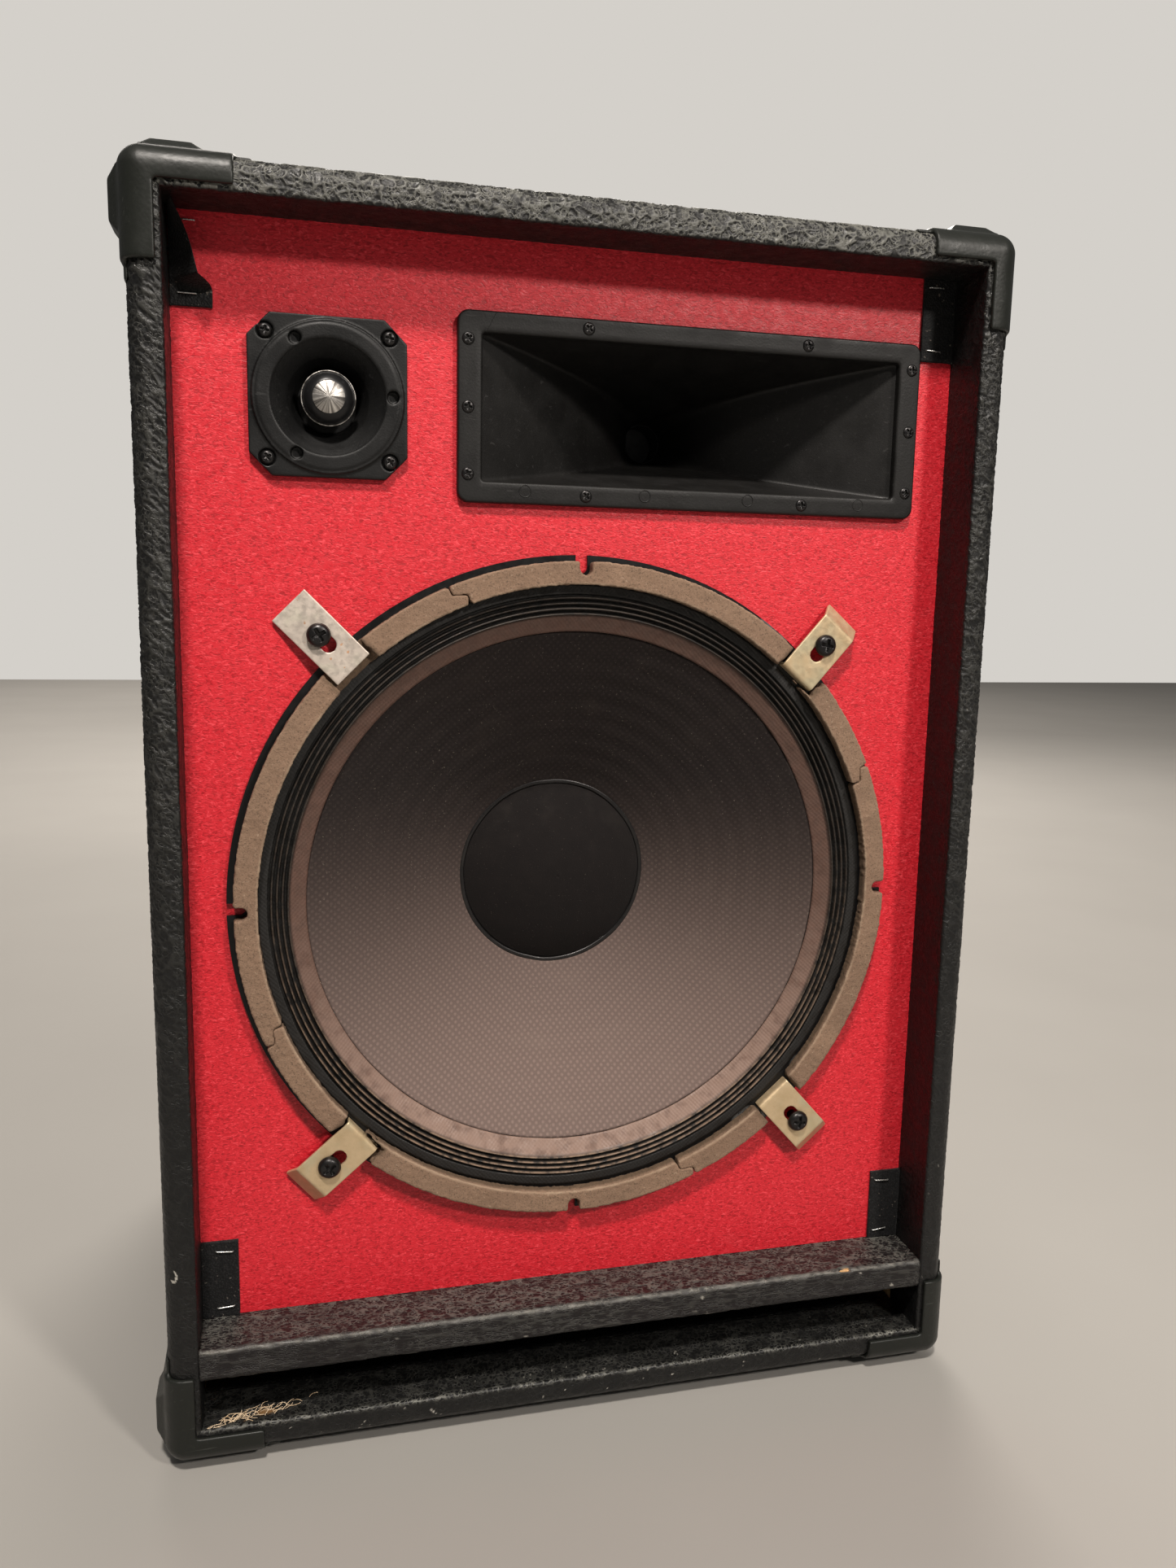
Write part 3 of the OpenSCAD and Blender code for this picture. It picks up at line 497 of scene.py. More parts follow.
def red_vinyl():
    """Smooth leathercloth with fine, mostly level wrinkles, their crests painted pale as highlights and
    their valleys dark as painted shade.
    """
    p = Paint("red_vinyl")
    ripple = p.noise(1.25, 2, by=(2.1, 1, 1), bend=1.1)
    tone = p.mix(p.noise(120), rgb(203, 30, 43), rgb(215, 37, 50))
    # Painted shade in the wrinkles' valleys and painted highlights on their crests.
    valley = p.mix(p.ramp(ripple, 0.30, 0.52), rgb(168, 18, 30), tone)
    colour = p.mix(p.ramp(ripple, 0.54, 0.74), valley, rgb(236, 70, 80))
    colour = p.flecks(colour, 35, 5, 0.62, 0.82, 0.2, rgb(190, 70, 72))
    colour = p.flecks(colour, 3.2, 2, 0.78, 0.82, 0.8, rgb(120, 12, 20))
    height = p.math("ADD", ripple, p.math("MULTIPLY", p.noise(14, 2), 0.8))
    return p.done(colour, p.uneven(5, 0.42, 0.54), height, 0.26)


def moulded(name, dark, light, peel=1.6, depth=0.05, rough=(0.38, 0.52), dust=0.18, scratch=0.3, gloss=0.32):
    """Moulded plastic: fine peel, uneven sheen, settled dust and hairline scratches."""
    p = Paint(name)
    colour = p.mix(p.noise(45), rgb(*dark), rgb(*light))
    lift = tuple(min(255, c + 46) for c in light)
    colour = p.flecks(colour, 2.2, 6, 0.56, 0.8, dust, rgb(*lift))
    lines = p.ramp(p.noise(2.0, 2, by=(14, 1, 1.4), bend=0.6), 0.70, 0.74, 0, scratch)
    colour = p.mix(lines, colour, rgb(*lift))
    height = p.math("ADD", p.cells(peel, "SMOOTH_F1"), p.math("MULTIPLY", p.noise(0.5), 0.4))
    return p.done(colour, p.uneven(16, *rough, 4), height, depth, Specular_IOR_Level=gloss)


def metal(name, dark, light, rough, rust=0.0):
    """Bare or plated steel: tarnish, uneven shine and rust spots."""
    p = Paint(name)
    colour = p.mix(p.noise(8, 5), rgb(*dark), rgb(*light))
    spots = p.ramp(p.noise(3.4, 6), 0.66 - 0.1 * rust, 0.74 - 0.1 * rust, 0, min(1, rust * 1.6))
    colour = p.mix(spots, colour, p.mix(p.noise(1.2), rgb(92, 48, 22), rgb(172, 98, 44)))
    finish = p.noise(1.0)
    shine = p.math("MULTIPLY", p.math("SUBTRACT", 1.0, spots), 0.85)
    return p.done(colour, p.ramp(finish, 0.3, 0.7, *rough), finish, 0.03, shine)


def turned_alloy():
    """Lathe-turned alloy: bright and dark streaks that fan out from the tweeter's axis are painted
    highlights and reflections of its turned finish.
    """
    p = Paint("turned_alloy")
    x = p.math("SUBTRACT", p.axis("X"), TWEETER[0] * MM)
    z = p.math("SUBTRACT", p.axis("Z"), TWEETER[1] * MM)
    fan = p.node("ShaderNodeTexNoise", {"W": p.math("MULTIPLY", p.math("ARCTAN2", z, x), 3.2), "Scale": 1.0,
                                        "Detail": 4}, noise_dimensions="1D").outputs["Fac"]
    # Painted highlights and reflections: the streaks lie in the colour.
    colour = p.mix(p.ramp(fan, 0.36, 0.64), rgb(96, 92, 88), rgb(206, 202, 196))
    return p.done(colour, p.uneven(1.5, 0.34, 0.48, 4), fan, 0.12, 0.9)


def plywood():
    """Pale veneer with long pores."""
    p = Paint("plywood")
    tone = p.mix(p.stripes(9, bend=7), rgb(186, 146, 98), rgb(214, 178, 128))
    pores = p.noise(1.2, by=(12, 1, 1))
    colour = p.mix(p.ramp(pores, 0.55, 0.75, 0, 0.6), tone, rgb(140, 98, 60))
    return p.done(colour, 0.7, pores, 0.15)


def softwood():
    p = Paint("softwood")
    colour = p.mix(p.stripes(6, (0, 0.2, 0.1), 3), rgb(206, 170, 116), rgb(226, 196, 146))
    return p.done(colour, 0.66, p.noise(1.0, 3, by=(1, 1, 12)), 0.12)


def black_paint():
    p = Paint("black_paint")
    colour = p.mix(p.noise(60, 4), rgb(26, 26, 25), rgb(40, 39, 37))
    colour = p.flecks(colour, 6, 7, 0.66, 0.74, 0.5, rgb(96, 88, 76))
    height = p.math("ADD", p.noise(1.4, 5), p.math("MULTIPLY", p.noise(2, 3, by=(1, 1, 14)), 0.8))
    return p.done(colour, p.uneven(12, 0.5, 0.72), height, 0.14)


def hook_tape():
    p = Paint("hook_tape")
    loops = p.cells(1.1)
    colour = p.mix(p.ramp(loops, 0.1, 0.6), rgb(27, 27, 28), rgb(8, 8, 9))
    colour = p.flecks(colour, 2.5, 6, 0.64, 0.72, 0.7, rgb(120, 112, 104))
    return p.done(colour, 0.7, loops, 0.3, Sheen_Weight=0.06, Specular_IOR_Level=0.3)


# Chips in the frame's paint: where they are round the rim, in degrees, and how far they reach
CHIP_RING = 190
CHIPS = ((53, 9), (307, 10), (322, 8))


def black_frame():
    """Painted steel, bare in a few ragged chips."""
    p = Paint("black_frame")
    colour = p.mix(p.noise(20, 4), rgb(11, 11, 12), rgb(18, 18, 19))
    bare = 0.0
    for angle, reach in CHIPS:
        x = WOOFER[0] + CHIP_RING * math.cos(math.radians(angle))
        z = WOOFER[1] + CHIP_RING * math.sin(math.radians(angle))
        bare = p.math("MAXIMUM", bare, p.near(x, BAFFLE - 2, z, reach, 3))
    torn = p.math("MULTIPLY", bare, p.ramp(p.noise(4, 5), 0.35, 0.5))
    colour = p.mix(torn, colour, p.mix(p.noise(3, 5), rgb(150, 152, 154), rgb(96, 92, 84)))
    return p.done(colour, p.uneven(5, 0.34, 0.5), p.noise(1.0, 4), 0.05,
                  p.math("MULTIPLY", torn, 0.8), Specular_IOR_Level=0.3)


def fibreboard():
    p = Paint("fibreboard")
    tone = p.mix(p.noise(26, 4), rgb(114, 91, 74), rgb(147, 119, 97))
    colour = p.flecks(tone, 0.9, 4, 0.52, 0.72, 0.7, rgb(72, 58, 46))
    colour = p.flecks(colour, 1.5, 4, 0.6, 0.75, 0.5, rgb(172, 150, 128))
    colour = p.mix(p.mark("edge"), colour, rgb(160, 138, 116))
    colour = p.mix(p.mark("torn"), colour, p.mix(p.noise(1.4), rgb(34, 29, 25), rgb(104, 82, 58)))
    height = p.math("ADD", p.noise(0.8, 5), p.noise(2.5, 4))
    return p.done(colour, 0.88, height, 0.28)


# The angle, in radians, at which the threads of the cone and its surround lie
THREAD_TURN = 0.785


def doped_cloth():
    """The surround: dark dope, crests paler towards the bottom, and brown glue where it meets the cone, also
    paler towards the bottom.
    """
    p = Paint("doped_cloth")
    weave = p.math("ADD", p.stripes(0.9, (0, THREAD_TURN, 0)), p.stripes(0.9, (0, -THREAD_TURN, 0)))
    low = p.ramp(p.axis("Z"), (WOOFER[1] - 165) * MM, (WOOFER[1] + 20) * MM, 1, 0.12)
    # Crests take a pale colour towards the bottom, and the glue turns paler there too.
    dust = p.math("MULTIPLY", p.math("MULTIPLY", p.mark("crest"), low), p.ramp(p.noise(5, 5), 0.3, 0.6))
    colour = p.mix(p.noise(30, 3), rgb(17, 16, 15), rgb(26, 24, 22))
    colour = p.mix(p.math("MULTIPLY", dust, 0.85), colour, rgb(142, 118, 98))
    glue = p.mix(p.noise(4, 5), rgb(92, 63, 52), rgb(60, 42, 35))
    paler_below = p.math("MULTIPLY", low, p.ramp(p.noise(7, 5), 0.3, 0.55, 0.45, 0.9))
    glue = p.mix(paler_below, glue, rgb(146, 121, 108))
    colour = p.mix(p.mark("glue"), colour, glue)
    return p.done(colour, p.uneven(6, 0.45, 0.75), weave, 0.05)


def cone_paper():
    """Dark woven paper, paler towards the bottom."""
    p = Paint("cone_paper")
    weave = p.math("MULTIPLY", p.stripes(1.5, (0, THREAD_TURN, 0)), p.stripes(1.5, (0, -THREAD_TURN, 0)))
    low = p.ramp(p.axis("Z"), (WOOFER[1] - 140) * MM, (WOOFER[1] + 75) * MM, 1, 0)
    base = p.mix(low, rgb(33, 27, 26), rgb(110, 94, 88))
    colour = p.mix(p.ramp(weave, 0.1, 0.8, 0, 0.6), base, p.mix(low, rgb(46, 39, 37), rgb(140, 120, 112)))
    colour = p.flecks(colour, 22, 6, 0.5, 0.8, 0.25, p.mix(low, rgb(58, 50, 46), rgb(122, 106, 98)))
    colour = p.flecks(colour, 1.0, 3, 0.66, 0.74, 0.5, rgb(138, 130, 118))
    height = p.math("ADD", weave, p.noise(1.6, 4))
    return p.done(colour, 0.84, height, 0.07, Sheen_Weight=0.04, Specular_IOR_Level=0.25)


def cap_felt():
    """Dark felt, a little paler where light dust lies on its upper half."""
    p = Paint("cap_felt")
    high = p.ramp(p.axis("Z"), (WOOFER[1] - 10) * MM, (WOOFER[1] + 55) * MM)
    colour = p.mix(p.noise(9, 6), rgb(17, 14, 14), rgb(25, 21, 20))
    dust = p.math("MULTIPLY", high, p.ramp(p.noise(14, 6), 0.45, 0.75, 0, 0.35))
    colour = p.mix(dust, colour, rgb(44, 40, 37))
    colour = p.flecks(colour, 0.8, 2, 0.7, 0.76, 0.4, rgb(104, 96, 88))
    return p.done(colour, 0.9, p.noise(0.9, 5), 0.1, Sheen_Weight=0.03, Specular_IOR_Level=0.2)


def wound(name, dark, light):
    """Windings of fine wire."""
    p = Paint(name)
    turns = p.stripes(0.9, (0, math.pi / 2, 0), 0.4)
    colour = p.mix(turns, rgb(*dark), rgb(*light))
    return p.done(colour, 0.34, turns, 0.12, 0.7)


def cloth(name, dark, light, size=1.0, rough=0.85, depth=0.2):
    """Woven or fibrous cloth."""
    p = Paint(name)
    weave = p.math("ADD", p.stripes(size, (0, 0, 0), 1), p.stripes(size, (0, math.pi / 2, 0), 1))
    colour = p.mix(p.noise(size * 5, 5), rgb(*dark), rgb(*light))
    height = p.math("ADD", weave, p.noise(size, 5))
    return p.done(colour, rough, height, depth, Sheen_Weight=0.3)


def stone(name, dark, light):
    """Sintered or painted hard parts with a fine grain."""
    p = Paint(name)
    colour = p.mix(p.noise(16.8, 5), rgb(*dark), rgb(*light))
    colour = p.flecks(colour, 1.2, 4, 0.6, 0.75, 0.35, rgb(*[min(255, c + 36) for c in light]))
    return p.done(colour, p.uneven(6, 0.5, 0.7), p.noise(1.2, 4), 0.08)


def clamp_plating(name, dark, light, rust):
    """Zinc plating with white bloom and brown spots."""
    p = Paint(name)
    colour = p.mix(p.noise(7, 5), rgb(*dark), rgb(*light))
    colour = p.flecks(colour, 16, 2, 0.45, 0.7, 0.4, rgb(186, 190, 164))
    ragged = p.math("ADD", p.cells(5.2), p.math("MULTIPLY", p.noise(1.6, 4), 0.55))
    ragged = p.math("ADD", ragged, p.math("MULTIPLY", p.noise(11, 2), 0.5))
    spots = p.math("MULTIPLY", p.ramp(ragged, 0.56, 0.68, 1, 0), min(1.0, rust))
    colour = p.mix(spots, colour, p.mix(p.noise(1.2, 4), rgb(112, 70, 36), rgb(206, 146, 92)))
    shine = p.math("MULTIPLY", p.math("SUBTRACT", 1.0, spots), 0.55)
    return p.done(colour, p.uneven(3, 0.36, 0.58, 5), p.noise(1.3, 5), 0.06, shine)


PAINTS = {
    "black_vinyl": black_vinyl(),
    "red_vinyl": red_vinyl(),
    "plywood": plywood(),
    "softwood": softwood(),
    "black_paint": black_paint(),
    "hook_tape": hook_tape(),
    "bright_steel": metal("bright_steel", (186, 186, 184), (226, 226, 222), (0.22, 0.36)),
    "black_steel": metal("black_steel", (34, 34, 36), (66, 64, 63), (0.28, 0.42)),
    "black_frame": black_frame(),
    "fibreboard": fibreboard(),
    "doped_cloth": doped_cloth(),
    "cone_paper": cone_paper(),
    "cap_felt": cap_felt(),
    "copper": wound("copper", (118, 58, 30), (206, 128, 84)),
    "spider_cloth": cloth("spider_cloth", (150, 108, 52), (190, 148, 88)),
    "zinc_steel": metal("zinc_steel", (132, 136, 138), (186, 188, 188), (0.28, 0.46), 0.25),
    "ferrite": stone("ferrite", (30, 31, 33), (50, 50, 52)),
    "zinc_clamp": clamp_plating("zinc_clamp", (182, 170, 158), (218, 206, 194), 0.8),
    "yellow_clamp": clamp_plating("yellow_clamp", (184, 160, 122), (224, 200, 164), 0.12),
    "tweeter_plastic": moulded("tweeter_plastic", (12, 12, 12), (17, 17, 17), 0.8, 0.05, (0.4, 0.56)),
    "turned_alloy": turned_alloy(),
    "horn_plastic": moulded("horn_plastic", (17, 16, 15), (23, 22, 21), 1.0, 0.04, (0.42, 0.56)),
    "corner_plastic": moulded("corner_plastic", (23, 25, 22), (31, 33, 29), 1.8, 0.07,
                              (0.34, 0.46), 0.1, 0.35, 0.34),
    "board": stone("board", (60, 44, 24), (96, 74, 42)),
    "capacitor_film": moulded("capacitor_film", (24, 66, 132), (36, 92, 168), 3, 0.03, (0.2, 0.34)),
    "dish_plastic": moulded("dish_plastic", (22, 23, 24), (33, 34, 35), 1.3, 0.06),
    "bail_steel": metal("bail_steel", (40, 42, 45), (74, 76, 80), (0.3, 0.46), 0.3),
    "wadding": cloth("wadding", (198, 194, 182), (232, 229, 219), 2.0, 0.95, 1.2),
    "wire_insulation": moulded("wire_insulation", (140, 28, 22), (176, 44, 34), 2, 0.04, (0.3, 0.42)),
}
SHELF_VINYL = black_vinyl("shelf_vinyl", (2.4, 1, 0.6), 1.8, (4, 1, 2))
# Painted reflection: the bullet's dark body, where its turned metal mirrors the dark surroundings, made as
# dark moulded plastic.
BULLET_PAINTED_REFLECTION = moulded("bullet_painted_reflection", (18, 18, 19), (28, 28, 29), 0.6, 0.02, (0.28, 0.4))


def paint_of(node):
    return PAINTS[SLOT_OF[node]]


for node_name, node_object in NODES.items():
    node_object.data.materials.clear()
    node_object.data.materials.append(paint_of(node_name))


# ---- vinyl covering ----

SIDES = {
    "top": (OPEN_HALF_W, lambda u, o, y: (u, y, MID_Z + OPEN_HALF_H + o)),
    "bottom": (OPEN_HALF_W, lambda u, o, y: (-u, y, MID_Z - OPEN_HALF_H - o)),
    "right": (OPEN_HALF_H, lambda u, o, y: (OPEN_HALF_W + o, y, MID_Z - u)),
    "left": (OPEN_HALF_H, lambda u, o, y: (-OPEN_HALF_W - o, y, MID_Z + u)),
}


def inside_opening(points, slack):
    """Whether each point is on the walls of the front opening, or within slack of them."""
    x, z = points[..., 0], points[..., 2]
    return (np.abs(x) < OPEN_HALF_W + slack) & (np.abs(z - MID_Z) < OPEN_HALF_H + slack)


def grid_normals(points):
    """Unit normals of a grid of points."""
    n = np.cross(np.gradient(points, axis=0), np.gradient(points, axis=1))
    return n / np.maximum(np.linalg.norm(n, axis=-1, keepdims=True), 1e-9)


# The bare patch of the port's floor, where it is torn to the wood
BARE_X, BARE_Y = -188, FRONT + 7
# A hook-shaped scratch on the left front edge
HOOK_X, HOOK_Z = -229, 118


def bell(value, centre, wide):
    """A squared distance from the centre, in widths, for use in exp(-...)."""
    return ((value - centre) / wide) ** 2


def covering_marks(points, grain, hidden):
    """The marks of each point: lit, the strength of the painted highlight on its crests (cut to painted
    shade inside the opening), bared to the wood or scuffed pale; hidden points behind get none.
    """
    x, y, z = points[..., 0], points[..., 1], points[..., 2]
    # Painted light: lit rises with height to a painted highlight along the top edge, falls on the outer
    # sides, drops to painted shade inside the opening, and gives the port's lip and floor a painted
    # highlight.
    lit = 0.03 + 0.15 * smooth(z, 180, 520) + 0.57 * smooth(z, 655, 674)
    lit = lit * (0.7 + 0.6 * noise(points, 40, 31))
    lit = lit * (1 - 0.8 * smooth(np.abs(x), OPEN_HALF_W + 12, OPEN_HALF_W + 17))
    inner = inside_opening(points, 0.6)
    lit = np.where(inner, 0.12 * lit, lit)

    port = smooth(-z, -FLOOR_Z - 2, -FLOOR_Z + 3) * smooth(-y, 140, 168)
    lip = np.exp(-bell(y, FRONT + 1, 1.3) - bell(z, FLOOR_Z - 0.6, 1.3))
    lit = lit + (0.75 * lip + 0.45 * port * inner) * (0.4 + 1.2 * noise(points, 9, 46))

    slanted = points @ np.array([[0.3, 0.2, 0], [0, 1, 0], [0, 0, 1]])
    fibre = 0.7 * noise(slanted, 1.5, 41) + 0.5 * noise(points, 6, 42)
    patch = np.exp(-bell(x, BARE_X, 14) - bell(y, BARE_Y + 0.3 * (x + 192), 6))
    bare = inner * port * smooth(fibre + 0.35 * patch, 0.93, 0.99) * smooth(patch, 0.25, 0.5)

    speck = 0.7 * noise(points, 1.5, 43) + 0.4 * noise(points, 6, 44)
    near_lip = smooth(-y, -FRONT - 22, -FRONT - 3)
    scuff = port * smooth(speck + 0.05 * near_lip, 0.93, 0.98)
    on_front = y < FRONT + 9
    hook = np.abs(np.hypot((x - HOOK_X) / 0.8, (z - HOOK_Z) / 1.6) - 2.0) < 0.45
    scratch = hook & on_front & ((x > HOOK_X + 0.4) | (z < HOOK_Z - 2))
    fleck = smooth(0.7 * noise(points, 1.8, 47) + 0.4 * noise(points, 9, 48), 0.97, 1.02) * on_front
    crack = smooth(noise(points * [1, 1, 0.3], 3.0, 45), 0.83, 0.9)
    crack = crack * smooth(x, 216, 217.2) * smooth(-z, -80, -60) * (y < BAFFLE)
    scuff = np.maximum.reduce([scuff, 0.35 * fleck, 0.8 * scratch, 0.7 * crack])

    marks = {"grain": grain, "lit": np.clip(lit, 0, 1), "bare": bare, "scuff": np.clip(scuff, 0, 1)}
    return {name: np.append(values, np.zeros(hidden)) for name, values in marks.items()}


def nearest(values, wanted):
    """The place in values of the one nearest to wanted."""
    return int(np.argmin(np.abs(values - wanted)))


def cut_opening(quads, outer, inner_rows, low, high):
    """Cuts a rectangle, from low to high in y and z, out of a strip's two layers and walls its edges."""
    cols = outer.shape[1]
    y, z = outer[:, cols // 2, 1], outer[len(outer) // 2, :, 2]
    front, back = nearest(y, low[0]), nearest(y, high[0])
    left, right = sorted((nearest(z, low[1]), nearest(z, high[1])))
    under_front, under_back = inner_rows[front], inner_rows[back]
    row, col = np.divmod(quads.min(axis=1), cols)
    cut = ((row >= front) & (row < back)) | ((row >= under_back) & (row < under_front))
    kept = quads[~(cut & (col >= left) & (col < right))].tolist()
    for top, below in ((front, under_front), (back, under_back)):
        kept += [[top * cols + c, top * cols + c + 1, below * cols + c + 1, below * cols + c]
                 for c in range(left, right)]
    for c in (left, right):
        kept.append([r * cols + c for r in range(front, back + 1)]
                    + [r * cols + c for r in range(under_back, under_front + 1)])
    return kept


def covering_strip(name, side, section, spacing, tucked=0.0, opening=None):
    """One side of the covering, mitred at its ends under the corner protectors."""
    half, place = SIDES[side]
    run = np.linspace(-1, 1, int(2 * half / spacing))
    turn = np.radians(np.linspace(9, 45, 5))

    def ring(path):
        o, y = path[:, :1], path[:, 1:]
        r = np.maximum(0.35, o - WALL + EDGE_R)
        reach = half + o - r
        u = np.hstack([-(reach + r * np.sin(turn[::-1])), reach * run, reach + r * np.sin(turn)])
        h = np.hstack([o - r + r * np.cos(turn[::-1]), o + 0 * run, o - r + r * np.cos(turn)])
        return np.stack(place(u, h, y + 0 * u), -1)

    outer = ring(section)
    upright = side in ("left", "right")
    grain = bark(outer, (1.8, 1, 0.9), -0.7) if upright else bark(outer, (1.35, 1, 1))
    strength = np.where(inside_opening(outer, 0.5), 0.4, 0.3 + 0.7 * smooth(outer[..., 2], 150, 430))
    wide = noise(outer, 38, 7) - 0.5
    lift = strength * (0.8 * grain - 0.12) + 0.2 * wide
    if tucked:
        lift[:2] = -tucked
    normals = grid_normals(outer)
    middle_out = np.array([0, 0, MID_Z])
    flip = np.sign(((outer - middle_out) * normals)[len(outer) // 2, outer.shape[1] // 2].sum())
    outer = outer + flip * normals * lift[..., None]
    picks = list(range(0, len(section), 8)) + [len(section) - 1]
    if opening:
        picks += [nearest(outer[:, outer.shape[1] // 2, 1], edge[0]) for edge in opening]
    picks = sorted(set(picks), reverse=True)
    inside = ring((section + 0.8 * left_normals(section))[picks])
    points = np.concatenate([outer, inside])
    rows, cols = points.shape[:2]
    faces = grid_faces(rows, cols, True)
    if opening:
        faces = cut_opening(faces, outer, {p: len(outer) + n for n, p in enumerate(picks)}, *opening)
    else:
        faces = faces.tolist()
    faces += end_caps(rows, cols)
    make(name, points.reshape(-1, 3), faces, PAINTS["black_vinyl"], "cabinet", ("vinyl_covering",),
         covering_marks(outer, grain, inside.size // 3))


SPLIT = FRONT + 22
# How far the rim of a handle dish reaches over the covering
HANDLE_OVERLAP = 12
front_path = fillet([(0, FRONT + 6), (0, FRONT), (WALL, FRONT), (WALL, SPLIT)], [1.5, EDGE_R], 10)
front_section = np.concatenate([
    resample(np.array([(0, BAFFLE + 0.4), (0, FRONT + 6)]), 1.3)[:-1], resample(front_path, 0.66)
])
body_section = resample(fillet(
    [(WALL, SPLIT - 2), (WALL, REAR), (0, REAR), (0, REAR - REAR_RECESS)], [EDGE_R, 1.5], 10), 1.8)
for side_name in SIDES:
    covering_strip(f"covering_front_{side_name}", side_name, front_section, 0.7)
    handle_opening = None
    if side_name in ("left", "right"):
        rim_low, rim_high = corners_of(f"handle_dish_{side_name}")
        handle_opening = (rim_low[1:] + HANDLE_OVERLAP, rim_high[1:] - HANDLE_OVERLAP)
    covering_strip(f"covering_body_{side_name}", side_name, body_section, 1.8, 0.4, handle_opening)


def port_floor():
    """The covering behind the front edge, on the floor of the port."""
    runs = [np.arange(-OPEN_HALF_W, OPEN_HALF_W + 0.5, 1.0), np.arange(BAFFLE, BAFFLE + 64.5, 1.0)]
    x, y = np.meshgrid(*runs, indexing="ij")
    front = np.stack([x, y, 0 * x + FLOOR_Z], -1)
    grain = bark(front)
    marks = covering_marks(front, grain, grain.size)
    back = front - [0, 0, 0.8]
    front[..., 2] += 0.5 * (grain - 0.8)
    make("port_floor_covering", *sheet(front, back), PAINTS["black_vinyl"], marks=marks)


port_floor()


def frayed_threads():
    """Short pale fibres of the worn covering, lying on the port's floor near its front lip."""
    dice = np.random.default_rng(19)
    parts = []
    for _ in range(64):
        x = -192 + 13 * dice.normal()
        y = FRONT + 2.5 + 0.22 * (x + 205) + 4.2 * abs(dice.normal())
        if not -OPEN_HALF_W + 3 < x < -150 or y > FRONT + 30:
            continue
        long, turn, bow = 3 + 6 * dice.random(), math.radians(dice.normal() * 38 + 22), 1.2 * dice.normal()
        t = np.linspace(-0.5, 0.5, 6)
        along, aside = long * t, bow * (0.25 - t * t) * 4
        path = np.stack([x + along * math.cos(turn) - aside * math.sin(turn),
                         y + along * math.sin(turn) + aside * math.cos(turn),
                         FLOOR_Z + 0.25 + 0.9 * dice.random() * (0.25 - t * t) * 4], -1)
        path[:, 1] = np.maximum(path[:, 1], FRONT + 1.2)
        parts.append(tube(path, 0.13 + 0.09 * dice.random(), 5))
    points, faces = join(parts)
    make("frayed_threads", points, faces, cloth("frayed_threads", (176, 138, 88), (232, 214, 186), 1.5))


frayed_threads()


# ---- shelf over the port ----

# The chip in the shelf's front edge
CHIP_X = 166


def shelf_covering():
    """The wrap of the shelf's front: streaks on top, wrinkles across its face and one torn chip."""
    y0, y1 = SHELF_LOW[1], SHELF_HIGH[1]
    z0, z1 = SHELF_LOW[2], SHELF_HIGH[2]
    loop = fillet([(BAFFLE + 8, z1), (y0, z1), (y0, z0), (BAFFLE + 8, z0)], [3.4, 3.4], 8)
    loop = resample(loop, 0.85)
    coarse = resample(np.array([(BAFFLE + 8, z0), (y1, z0), (y1, z1), (BAFFLE + 8, z1)], float), 4.0)[1:-1]
    section = np.concatenate([loop, coarse])
    xs = np.linspace(SHELF_LOW[0], SHELF_HIGH[0], 500)
    points = np.stack(np.broadcast_arrays(xs, section[:, :1], section[:, 1:]), -1)
    x, y, z = points[..., 0], points[..., 1], points[..., 2]
    on_front = smooth(-y, 184, 189)
    streaks = bark(points, (1.5, 0.75, 1.0))
    wrinkles = bark(points, (5.0, 1.0, 0.5))
    grain = streaks * (1 - on_front) + wrinkles * on_front
    normals = grid_normals(points)
    flip = -np.sign(normals[len(loop) // 2, 250, 1])
    chip = np.exp(-(bell(x, CHIP_X, 5.5) + bell(z, 72.6, 2.4) + bell(y, FRONT, 4.0)) ** 1.5)
    torn = chip * (0.75 + 0.5 * noise(points, 1.6, 51))
    lift = 0.4 * grain - 0.25 + 0.3 * (noise(points, 30, 8) - 0.5) - 1.9 * smooth(torn, 0.25, 0.7)
    points = points + flip * normals * lift[..., None]
    rows, cols = points.shape[:2]
    faces = grid_faces(rows, cols, True).tolist() + end_caps(rows, cols)
    edge = np.exp(-bell(y, FRONT + 1.0, 1.1) - bell(z, z1 - 0.8, 1.1))
    # Painted light: lit paints the crests on top paler than those on the front face, with a painted
    # highlight along the front edge.
    lit = 0.55 * (1 - 0.7 * on_front) + 0.4 * edge + 0.2 * (noise(points, 45, 52) - 0.5)
    speck = noise(points * [0.5, 1, 1], 1.8, 53) * 0.7 + noise(points, 11, 54) * 0.45
    scuff = smooth(speck, 0.95, 1.02) * (0.3 + 0.4 * on_front) + 0.3 * edge * noise(points, 3, 55)
    bare = smooth(torn, 0.42, 0.6) * smooth(x, CHIP_X - 2, CHIP_X + 1)
    marks = {"grain": grain, "lit": np.clip(lit, 0, 1), "bare": bare, "scuff": np.clip(scuff, 0, 1)}
    make("shelf_wrap", points.reshape(-1, 3), faces, SHELF_VINYL, "cabinet", ("shelf_covering",), marks)


shelf_covering()


# ---- corner protectors ----

